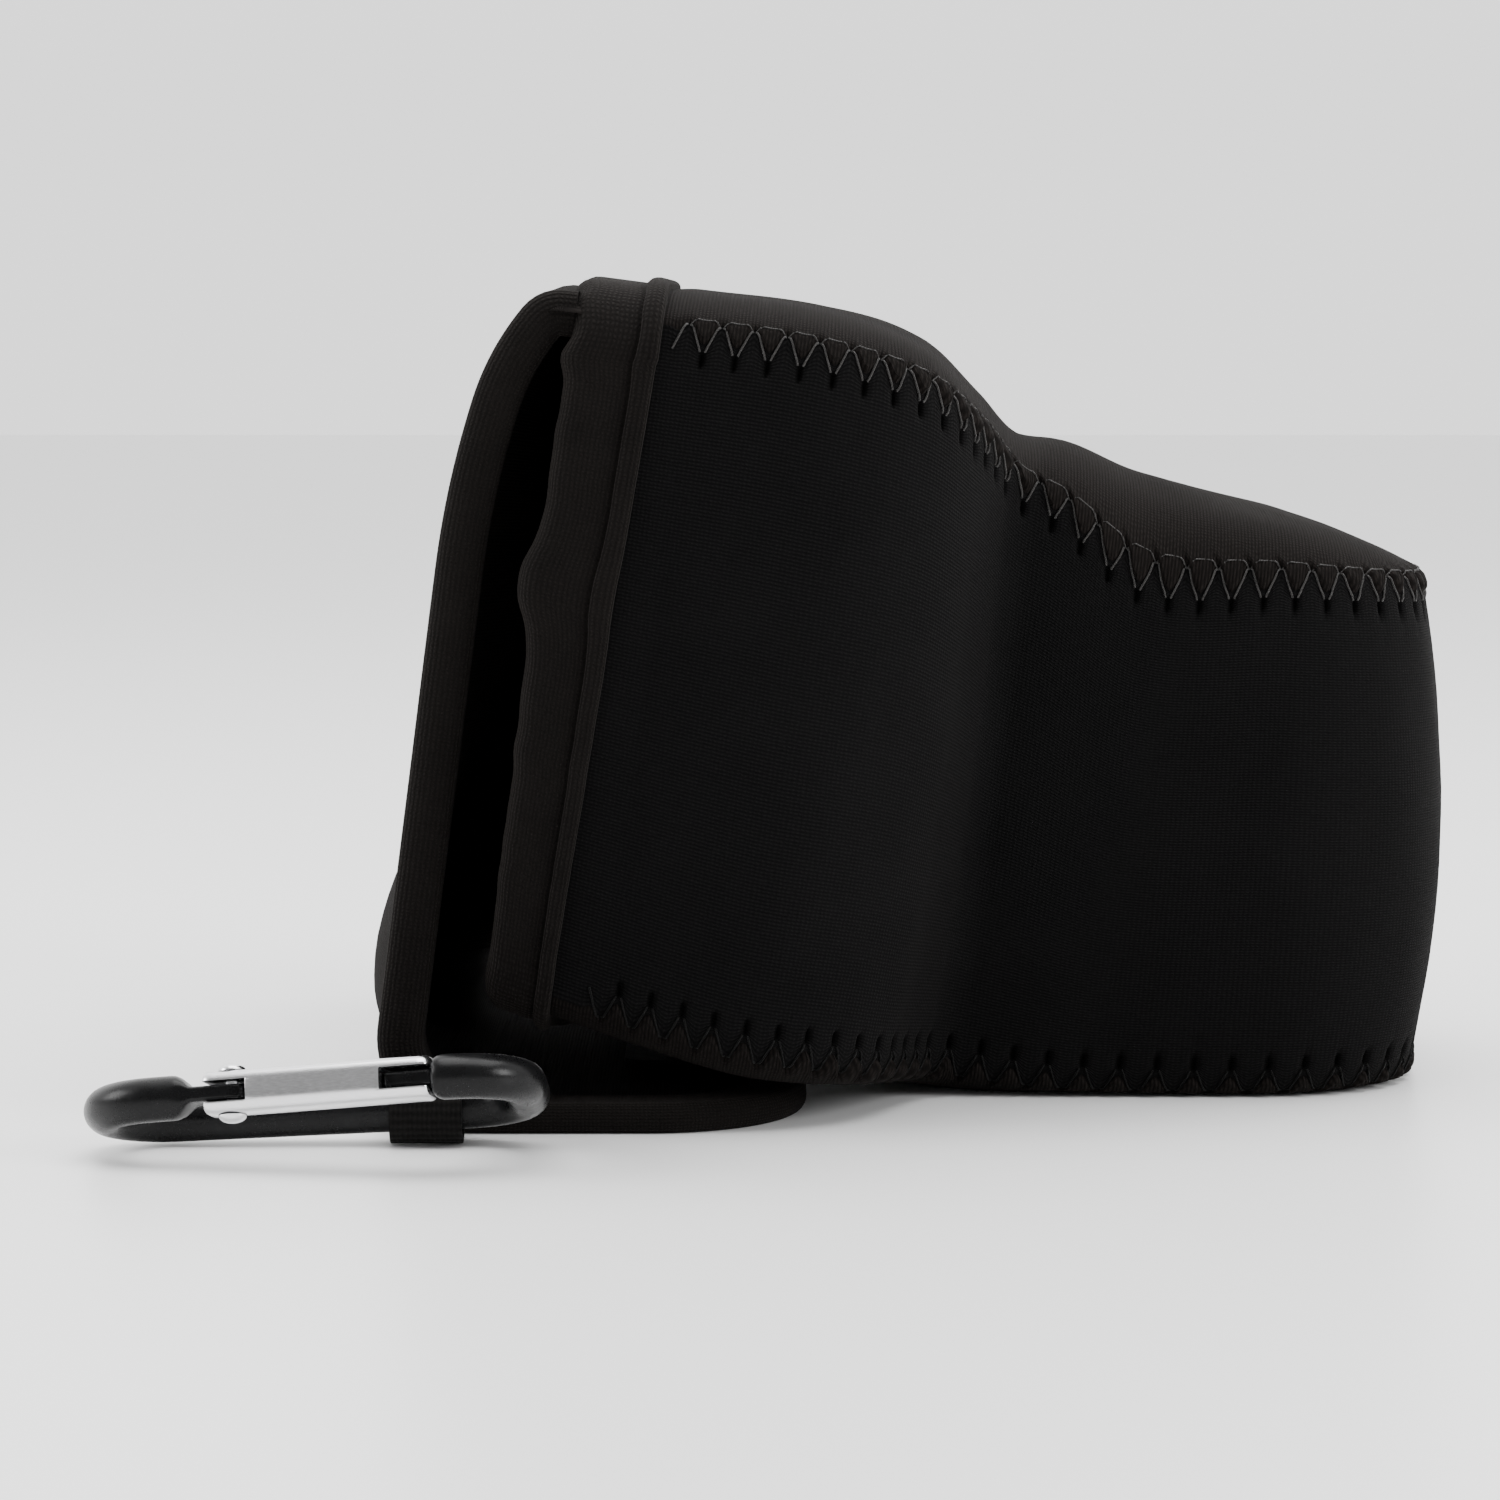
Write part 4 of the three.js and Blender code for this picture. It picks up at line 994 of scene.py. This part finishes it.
def round_corner(up, middle):
    """Spots from the right wall's edge round to a panel's edge, without the last one."""
    start, end = wall_middle(up), middle(MOUTH_CORNER)
    slope = (middle(MOUTH_CORNER + 1) - end).y
    corner = Vector((start.x, end.y - slope * (start.x - end.x)))
    return [start.lerp(corner, t).lerp(corner.lerp(end, t), t) for t in spread(0, 1, 1 / 18)[:-1]]


def edge_tape(name, line):
    """Tape over the mouth's edge along (x, z, up, width) spots, clockwise as seen from the flap's side."""
    frames = []
    for i, (x, z, up, width) in enumerate(line):
        before, after = line[max(i - 1, 0)], line[min(i + 1, len(line) - 1)]
        run = Vector((after[0] - before[0], after[1] - before[1])).normalized()
        across = leaned(-run.y, 0, run.x)
        along = leaned(0, -1, -SOLE_FALL * (1 - up)) * width
        bunched = bell(z - BUNCHED_AT, BUNCHED_SPREAD) + 0.4
        waver = soft_waves((x, 0, z), TAPE_WAVES) + bunched * soft_waves((x, 0, z), BUNCHED_WAVES)
        if x < 0:
            waver += HUMP_RISE * bell(z - HUMP_AT, HUMP_SPREAD)
        along *= 1 + waver / (TAPE_WIDTH + RIDGE_WIDTH)
        frames.append((leaned(x, MOUTH_EDGE + waver, z), across, along, MOUTH_TAPE))
    piece = new_piece(name, swept(frames), TAPE)
    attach(piece, "pouch")
    return piece


def mirrored(half):
    return [(-x, z, up, width) for x, z, up, width in reversed(half)]


def mouth_tape():
    """One tape up the left wall's edge, over the upper panel's and down the right wall's."""
    half = [(*top_middle(off), 1.0, 1.0) for off in spread(BODY_HALF_WIDTH, MOUTH_CORNER, 1.2)]
    half += [(*spot, 1.0, 1.0) for spot in reversed(round_corner(1 - CORNER_SHARE, top_middle)[1:])]
    for up in spread(1 - CORNER_SHARE, CORNER_SHARE, 0.012):
        half.append((*wall_middle(up), up, mix(TAPE_FOOT_SCALE, 1, up)))
    piece = edge_tape("mouth_tape", mirrored(half[1:]) + half)
    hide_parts("left_edge_binding", "right_edge_binding")


def lower_tape():
    """The tape runs on round the mouth's lower corners and along the lower panel's edge."""
    foot = mix(TAPE_FOOT_SCALE, 1, CORNER_SHARE)
    half = [(*spot, CORNER_SHARE, foot) for spot in round_corner(CORNER_SHARE, sole_middle)]
    for off in spread(MOUTH_CORNER, BODY_HALF_WIDTH, 1.2):
        share = ease((off - MOUTH_CORNER) / 12)
        half.append((*sole_middle(off), CORNER_SHARE * (1 - share), mix(foot, 1, share)))
    piece = edge_tape("lower_mouth_tape", half + mirrored(half[:-1]))
    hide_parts("bottom_edge_binding")


def thread_tube(name, strands, radius, material, body, sides=6):
    """Round thread along lists of points, given in millimetres."""
    bm = bmesh.new()
    for points in strands:
        rings = []
        for i, p in enumerate(points):
            ahead = points[min(i + 1, len(points) - 1)] - points[max(i - 1, 0)]
            turn = ahead.to_track_quat("Z", "Y").to_matrix().to_4x4()
            ring = bmesh.ops.create_circle(bm, segments=sides, radius=radius,
                                           matrix=Matrix.Translation(p) @ turn)["verts"]
            rings.append(ring)
        for a, b in zip(rings, rings[1:]):
            start = min(range(sides), key=lambda k: (b[k].co - a[0].co).length)
            for k in range(sides):
                bm.faces.new((a[k], a[(k + 1) % sides], b[(start + k + 1) % sides], b[(start + k) % sides]))
        bm.faces.new(rings[0])
        bm.faces.new(rings[-1])
    piece = new_piece(name, bm, material)
    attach(piece, body)
    return piece


def seam_spot(signed, off, upper, lift):
    """A spot lifted off the cloth beside a seam: off is + on the panel and - on the wall."""
    outward = rim_at(signed)[2]
    over = clamp(0.5 + off / 2)
    normal = Vector((outward.x * (1 - over * 0.6), outward.y * (1 - over * 0.6), over if upper else -over))
    return seam_surface(signed, off, upper) + normal.normalized() * lift


def flatlock(name, upper, material):
    """Legs run from peaks on the panel down to the needle holes, and arches join the peaks."""
    count = math.floor((BAND_HALF - TAPE_WIDTH) / STITCH_PITCH)

    def leg(peak, way):
        points = []
        for t in spread(0, 1, 1 / 7):
            signed = (peak + way * (0.04 + 0.38 * t)) * STITCH_PITCH
            off = mix(STITCH_PEAK, STITCH_FOOT, t ** 1.5)
            lift = stitch_press(signed, off) + THREAD_RADIUS * 1.2
            points.append(leaned(*seam_spot(signed, off, upper, lift)))
        return points

    def arch(peak):
        points = []
        for t in spread(0, 1, 1 / 12):
            signed = (peak + t) * STITCH_PITCH
            off = STITCH_PEAK + STITCH_ARCH * math.sin(math.pi * t)
            points.append(leaned(*seam_spot(signed, off, upper, stitch_press(signed, off))))
        return points

    legs = [leg(peak, way) for peak in range(-count, count + 1) for way in (-1, 1)]
    thread_tube(name + "_legs", legs, THREAD_RADIUS, material, "pouch", 5)
    if upper:
        arches = [arch(peak) for peak in range(-count, count)]
        thread_tube(name + "_arches", arches, ARCH_RADIUS, material, "pouch", 5)


# Flap and tongue
def flap_sheet():
    rows = spread(UPPER_END, BEND_AT, 2.4)[:-1] + spread(BEND_AT, FOLD_AT, 1.2)[:-1]
    rows += spread(FOLD_AT, CORNERS_AT, 1.6)[:-1]
    reach = TONGUE_CORNER - TAPE_TUCK
    rows += [CORNERS_AT + reach * math.sin(a) for a in spread(0, math.pi / 2, math.pi / 32)]
    shares = [math.sin(a) for a in spread(-math.pi / 2, math.pi / 2, math.pi / 44)]

    def place(distance, share, inner):
        x = share * tongue_half(distance, TAPE_TUCK)
        wave = 0.0
        if distance < FOLD_AT:
            free = ease((distance - UPPER_END) / 20) * (1 - share * share)
            wave = free * soft_waves((x, distance, 0), FLAP_WAVES)
        depth = flap_depths(distance)[1 if inner else 0]
        return fall_point(distance, x, depth - belly_at(distance, x) - wave)

    bm = thick_cloth(rows, shares, place,
                     lambda distance, share: (share * tongue_half(distance, TAPE_TUCK) * MM, distance * MM))
    piece = new_piece("flap_and_tongue_sheet", bm, PANEL_CLOTH)
    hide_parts("flap_panel", "tongue_panel")
    blend_over_fold(piece)


def blend_over_fold(piece):
    """Bakes the piece's placement into its mesh."""
    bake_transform(piece)


def flap_tape():
    """One tape round the flap's left edge, the tongue's round end and the right edge."""
    flat = FLAP_HALF_WIDTH - TONGUE_CORNER
    stops = []
    for d in spread(-1.2, FOLD_AT, 1.1) + spread(FOLD_AT, CORNERS_AT, 1.1)[1:]:
        stops.append((d, FLAP_HALF_WIDTH, 0.0))
    for a in spread(0, math.pi / 2, math.pi / 40)[1:]:
        stops.append((CORNERS_AT + TONGUE_CORNER * math.sin(a), flat + TONGUE_CORNER * math.cos(a), a))
    for x in spread(flat, 0, 1.5)[1:]:
        stops.append((CORNERS_AT + TONGUE_CORNER, x, math.pi / 2))
    both = [(d, -x, a, -1) for d, x, a in stops] + [(d, x, a, 1) for d, x, a in reversed(stops[:-1])]
    frames = []
    for distance, x, turn, side in both:
        heading = FALL.at(distance)[1]
        down = Vector((0, math.cos(heading), math.sin(heading)))
        across = Vector((0, -math.sin(heading), math.cos(heading)))
        along = Vector((-side * math.cos(turn), 0, 0)) - down * math.sin(turn)
        t = ease((distance - FOLD_AT + 8) / 14)
        edge = mix(FLAP_EDGE, TONGUE_EDGE, t)
        width = mix(FLAP_TAPE_WIDTH, TONGUE_TAPE_WIDTH, t)
        waver = soft_waves((0, 0, distance), EDGE_WAVES[side]) * (1 - t)
        origin = fall_point(distance, x, edge / 2) - along * waver
        skin = mix(1.1, 0.6, t)
        section = tape_profile(edge / 2 - skin, skin, TAPE_TUCK - 0.2, width, False)
        frames.append((origin, across, along, section))
    piece = new_piece("flap_edge_tape", swept(frames), TAPE)
    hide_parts("flap_left_binding", "flap_right_binding", "tongue_binding")
    blend_over_fold(piece)


# Carabiner, flat in its own frame: x along the spine from the nose, y to the gate
NOSE_END = BOW_RADIUS + BAR_RADIUS
GATE_HEADING = math.pi - GATE_SLOPE
GATE_WAY = Vector((math.cos(GATE_HEADING), math.sin(GATE_HEADING)))
HINGE_BOW = Route((NOSE_END + SPINE_LENGTH, 0), 0)
HINGE_BOW.arc(BOW_RADIUS, GATE_HEADING)
HINGE_BOW.straight(SHOULDER_RUN)
SHOULDER = HINGE_BOW.end
NOSE_SPOT = SHOULDER + GATE_WAY * (NECK_LENGTH + GATE_LENGTH + NOSE_GAP)
ALONG_SPINE = Vector((0, math.cos(CARABINER_PITCH), -math.sin(CARABINER_PITCH)))
LEVEL_GATE = Vector((-math.cos(CARABINER_ROLL), 0, math.sin(CARABINER_ROLL)))
RING_NORMAL = ALONG_SPINE.cross(LEVEL_GATE).normalized()
TO_GATE = RING_NORMAL.cross(ALONG_SPINE)
SPINE_SIDE = -(FLAP_HALF_WIDTH + 0.3 + LOOP_TAIL + LOOP_OUTER)
SPINE_LIFT = LOOP_OUTER + 0.1
LOOP_START = FOLD_Y + LOOP_SETBACK
RING_ORIGIN = Vector((SPINE_SIDE, LOOP_START + LOOP_WIDTH / 2, SPINE_LIFT))
RING_ORIGIN -= ALONG_SPINE * (NOSE_END + LOOP_WIDTH / 2 + LOOP_SETBACK)


def ring_place():
    """Matrix from the carabiner's own frame to the resting frame."""
    turn = Matrix((ALONG_SPINE, TO_GATE, RING_NORMAL)).transposed().to_4x4()
    return Matrix.Translation(RING_ORIGIN) @ turn


def ring_route():
    start = (NOSE_END + BOW_RADIUS * math.sin(GATE_SLOPE) - NOSE_SPOT.x) / GATE_WAY.x
    top = NOSE_SPOT.y + GATE_WAY.y * start
    route = Route(NOSE_SPOT, GATE_HEADING)
    route.straight(start)
    route.arc(BOW_RADIUS, math.pi / 2 + GATE_SLOPE)
    route.straight(top - BOW_RADIUS * math.cos(GATE_SLOPE) - BOW_RADIUS)
    route.arc(BOW_RADIUS, math.pi / 2)
    route.straight(SPINE_LENGTH)
    route.arc(BOW_RADIUS, GATE_HEADING)
    route.straight(SHOULDER_RUN)
    return route


def round_section(half_x, half_y, power, sides=36):
    """A round that squares up as its power grows."""
    points = []
    for k in range(sides):
        a = math.tau * k / sides
        c, s = math.cos(a), math.sin(a)
        x = half_x * math.copysign(abs(c) ** (2 / power), c)
        y = half_y * math.copysign(abs(s) ** (2 / power), s)
        points.append((x, y))
    return points


def carabiner_frame():
    route = ring_route()
    frames = []
    nose_width = GATE_WIDTH - NOSE_WEB - BLADE_GAP - NOSE_STEP
    nose_shift = -(NOSE_STEP - NOSE_WEB - BLADE_GAP) / 2
    up = Vector((0, 0, 1))

    def push(point, heading, half_x, half_y, power, shift=0.0):
        across = Vector((-math.sin(heading), math.cos(heading), 0))
        origin = Vector((point.x, point.y, 0)) + across * shift
        frames.append((origin, across, up, round_section(half_x, half_y, power)))

    # The nose blade, then its shoulders, run out of the bar's first end
    tip = NOSE_REACH + NOSE_GAP
    for back, small in ((tip, 0.88), (tip - 0.25, 1), (NOSE_REACH * 0.5, 1), (0.9, 1), (0.5, 1)):
        push(NOSE_SPOT - GATE_WAY * back, GATE_HEADING, nose_width / 2 * small,
             BLADE_THICKNESS / 2 * small, 5, nose_shift)
    for back, share in ((0.3, 0.35), (0.05, 0.75), (-0.35, 0.93), (-0.9, 1.0)):
        push(NOSE_SPOT - GATE_WAY * back, GATE_HEADING, mix(nose_width / 2, BAR_RADIUS, share),
             mix(BLADE_THICKNESS / 2, BAR_RADIUS, share), mix(4, 2, share), nose_shift * (1 - share))
    for d in spread(1.4, route.length - 1.2, 0.7):
        point, heading = route.at(d)
        push(point, heading, BAR_RADIUS, BAR_RADIUS, 2)
    # The other end is pressed flat into the tang that the gate turns on
    for ahead, share in ((-0.6, 0.04), (0.0, 0.2), (0.6, 0.5), (1.1, 0.8), (1.5, 0.95), (1.9, 1.0)):
        push(SHOULDER + GATE_WAY * ahead, GATE_HEADING, mix(BAR_RADIUS, BLADE_WIDTH / 2, share),
             mix(BAR_RADIUS, BLADE_THICKNESS / 2, share), mix(2, 5, share))
    tang = NECK_LENGTH + RIVET_INSET
    for a in spread(0, math.pi / 2, math.pi / 16):
        ahead = tang + BLADE_WIDTH / 2 * math.sin(a)
        push(SHOULDER + GATE_WAY * ahead, GATE_HEADING, max(0.25, BLADE_WIDTH / 2 * math.cos(a)),
             BLADE_THICKNESS / 2, 5)
    bm = swept(frames)
    bmesh.ops.transform(bm, matrix=ring_place(), verts=bm.verts)
    piece = new_piece("carabiner_bar", bm, BLACK_METAL)
    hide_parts("carabiner_frame")
    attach(piece, "carabiner")


def cutter(size, centre):
    bm = bmesh.new()
    bmesh.ops.create_cube(bm, size=1)
    bmesh.ops.scale(bm, vec=size, verts=bm.verts)
    bmesh.ops.translate(bm, vec=centre, verts=bm.verts)
    return as_object("cutter", bm)


def gate_place():
    turn = Matrix.Rotation(GATE_HEADING, 4, "Z")
    start = SHOULDER + GATE_WAY * NECK_LENGTH
    return ring_place() @ Matrix.Translation((start.x, start.y, 0)) @ turn


def carabiner_gate():
    frames = []
    ends = [(0, 0.86), (0.12, 0.94), (0.4, 1.0)]
    stops = ends + [(x, 1.0) for x in spread(1.2, GATE_LENGTH - 1.2, 2.0)]
    stops += [(GATE_LENGTH - x, s) for x, s in reversed(ends)]
    for x, small in stops:
        section = round_section(GATE_WIDTH / 2 * small, GATE_THICKNESS / 2 * small, 3.4, 44)
        frames.append((Vector((x, 0, 0)), Vector((0, 1, 0)), Vector((0, 0, 1)), section))
    bm = swept(frames)
    bmesh.ops.recalc_face_normals(bm, faces=bm.faces)
    gate = as_object("gate", bm)
    slot_height = BLADE_THICKNESS + 2 * BLADE_GAP
    slot = RIVET_INSET + BLADE_WIDTH / 2 + BLADE_GAP
    notch = NOSE_REACH + BLADE_GAP
    cuts = [
        cutter((slot + 1, GATE_WIDTH + 2, slot_height), ((slot - 1) / 2, 0, 0)),
        cutter((notch + 1, GATE_WIDTH, slot_height), (GATE_LENGTH + (1 - notch) / 2, -NOSE_WEB, 0)),
    ]
    for cut in cuts:
        change = gate.modifiers.new("cut", "BOOLEAN")
        change.operation = "DIFFERENCE"
        change.solver = "EXACT"
        change.object = cut
    bevel = gate.modifiers.new("edge", "BEVEL")
    bevel.width = GATE_BEVEL
    bevel.segments = 2
    bevel.angle_limit = math.radians(50)
    bpy.context.view_layer.update()
    shaped = bpy.data.meshes.new_from_object(gate.evaluated_get(bpy.context.evaluated_depsgraph_get()))
    bm = bmesh.new()
    bm.from_mesh(shaped)
    for done in [gate, *cuts]:
        bpy.data.objects.remove(done)
    bmesh.ops.transform(bm, matrix=gate_place(), verts=bm.verts)
    piece = new_piece("carabiner_gate_bar", bm, BRIGHT_METAL)
    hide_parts("carabiner_gate")
    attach(piece, "gate")


def gate_rivet():
    half = GATE_THICKNESS / 2 + 0.04
    bm = bmesh.new()
    for way in (1, -1):
        turn = Matrix.Rotation(0 if way > 0 else math.pi, 4, "X")
        dome = bmesh.ops.create_uvsphere(bm, u_segments=28, v_segments=14, radius=1)["verts"]
        below = [v for v in dome if v.co.z < -0.05]
        bmesh.ops.delete(bm, geom=below, context="VERTS")
        dome = [v for v in dome if v.is_valid]
        bmesh.ops.scale(bm, vec=(RIVET_HEAD_RADIUS, RIVET_HEAD_RADIUS, 0.95), verts=dome)
        bmesh.ops.translate(bm, vec=(0, 0, half), verts=dome)
        bmesh.ops.transform(bm, matrix=turn, verts=dome)
    bmesh.ops.create_cone(bm, segments=20, radius1=1, radius2=1, depth=2 * half, cap_ends=True)
    rims = [e for e in bm.edges if e.is_boundary]
    bmesh.ops.holes_fill(bm, edges=rims, sides=0)
    bmesh.ops.translate(bm, vec=(RIVET_INSET, 0, 0), verts=bm.verts)
    bmesh.ops.transform(bm, matrix=gate_place(), verts=bm.verts)
    piece = new_piece("gate_rivet_heads", bm, BRIGHT_METAL)
    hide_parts("gate_rivet")
    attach(piece, "gate")


def webbing_loop():
    """The loop round the spine and its tail, which is sewn to the flap's edge."""
    tail_end = LOOP_OUTER + LOOP_TAIL + 0.2
    meet = math.asin(LOOP_WEBBING / LOOP_OUTER)
    path = [(tail_end, -LOOP_WEBBING / 2), (LOOP_OUTER + 0.4, -LOOP_WEBBING / 2)]
    middle = (LOOP_INNER + LOOP_OUTER) / 2
    for a in spread(-meet, meet - math.tau, math.radians(9)):
        path.append((middle * math.cos(a), middle * math.sin(a)))
    path += [(LOOP_OUTER + 0.4, LOOP_WEBBING / 2), (tail_end, LOOP_WEBBING / 2)]
    half = LOOP_WEBBING / 2 * 0.94
    girths = [0.0]
    for a, b in zip(path, path[1:]):
        girths.append(girths[-1] + math.dist(a, b))

    def place(i, share, inner):
        before, after = Vector(path[max(i - 1, 0)]), Vector(path[min(i + 1, len(path) - 1)])
        run = (after - before).normalized()
        x, z = Vector(path[i]) + Vector((-run.y, run.x)) * (-half if inner else half)
        return Vector((SPINE_SIDE + x, LOOP_START + LOOP_WIDTH * share, SPINE_LIFT + z))

    bm = thick_cloth(range(len(path)), spread(0, 1, 1 / 12), place,
                     lambda i, share: (girths[i] * MM, share * LOOP_WIDTH * MM))
    piece = new_piece("carabiner_webbing_loop", bm, WEBBING)
    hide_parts("carabiner_loop")
    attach(piece, "flap")


def loop_stitches():
    """Bar tack across the loop's neck."""
    x = SPINE_SIDE + LOOP_OUTER + LOOP_TAIL / 2
    z = SPINE_LIFT + LOOP_WEBBING
    strand = []
    for k in range(TACK_POINTS):
        across = TACK_HALF_WIDTH if k % 2 else -TACK_HALF_WIDTH
        y = LOOP_START + TACK_INSET + TACK_LENGTH * k / (TACK_POINTS - 1)
        strand.append(Vector((x + across, y, z + TACK_LIFT)))
    piece = thread_tube("loop_bar_tack", [strand], TACK_THREAD, BLACK_THREAD, "flap")
    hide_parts("loop_bartack")


def carried_over():
    """CAD pieces that keep their shape get their finish."""
    for node, material in (("loop_patch", HOOKS), ("hook_patch", HOOKS), ("gate_spring", BRIGHT_METAL)):
        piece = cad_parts[node]
        piece.data.materials.clear()
        piece.data.materials.append(material)


# Floor, light and camera
FLOOR_HALF = 3.0
NEAR_SKY = 0.4
FAR_SKY = 2.8
LOW_SKY = 0.54
HORIZON = 1.72


def stage():
    bm = bmesh.new()
    bmesh.ops.create_grid(bm, x_segments=1, y_segments=1, size=FLOOR_HALF)
    floor = as_object("floor", bm)
    made, n = shader("pale_floor")
    slow = n.noise(n.place(), 300)
    colour = n.colour(slow, (0.86, 0.86, 0.86), (0.88, 0.88, 0.88))
    n.finish(colour, n.spread(slow, 0, 1, 0.32, 0.38), None, 0, Specular_IOR_Level=0.35)
    floor.data.materials.append(made)
    world = bpy.data.worlds.new("studio")
    world.use_nodes = True
    sky = world.node_tree.nodes["Background"]
    w = Nodes(world)
    way = w.add("ShaderNodeSeparateXYZ")
    w.feed(way, Vector=w.add("ShaderNodeTexCoord").outputs["Generated"])
    # Bright behind the case, dim behind the camera, and as pale as the floor where the two meet
    behind = w.spread(way.outputs["X"], -0.4, 0.7, NEAR_SKY, FAR_SKY)
    low = w.spread(way.outputs["Z"], 0, 0.35, LOW_SKY, 1)
    meets = w.spread(way.outputs["Z"], 0.02, 0.12, 1, 0)
    strength = w.add("ShaderNodeMix", data_type="FLOAT")
    w.feed(strength, Factor=meets, A=w.math("MULTIPLY", behind, low), B=HORIZON)
    w.feed(sky, Color=(1, 1, 1, 1), Strength=strength.outputs["Result"])
    bpy.context.scene.world = world


def aimed(name, data, place, way):
    """A lamp or a camera that looks along a way."""
    made = bpy.data.objects.new(name, data)
    made.location = place
    made.rotation_euler = way.to_track_quat("-Z", "Y").to_euler()
    bpy.context.scene.collection.objects.link(made)
    return made


def area_light(name, place, aim, size, power):
    light = bpy.data.lights.new(name, "AREA")
    light.shape = "RECTANGLE"
    light.size, light.size_y = size
    light.energy = power
    aimed(name, light, place, Vector(aim) - Vector(place))


CAMERA_PLACE = Vector((-0.640, 0.0, 0.105))
FOCAL_PIXELS = 4650
HORIZON_PIXELS = 450
CAMERA_PITCH = math.atan(HORIZON_PIXELS / FOCAL_PIXELS)
IMAGE_PIXELS = 1500
SENSOR = 36


def camera():
    data = bpy.data.cameras.new("camera")
    data.sensor_width = SENSOR
    data.lens = FOCAL_PIXELS / IMAGE_PIXELS * SENSOR
    data.clip_start = 0.01
    way = Vector((math.cos(CAMERA_PITCH), 0, -math.sin(CAMERA_PITCH)))
    bpy.context.scene.camera = aimed("camera", data, CAMERA_PLACE, way)


camera()
side_band()
top_panel()
bottom_panel()
mouth_tape()
lower_tape()
flatlock("upper_seam", True, SEAM_THREAD)
flatlock("lower_seam", False, BLACK_THREAD)
flap_sheet()
flap_tape()
carabiner_frame()
carabiner_gate()
gate_rivet()
webbing_loop()
loop_stitches()
carried_over()
stage()
area_light("top", (0.0, -0.1, 0.8), (0, 0, 0.04), (0.7, 0.9), 11)
area_light("front", (-0.42, -0.9, 0.42), (0, -0.02, 0.05), (0.4, 0.4), 7)
area_light("behind", (-0.1, 0.8, 0.4), (0, 0.03, 0.06), (0.4, 0.4), 5)
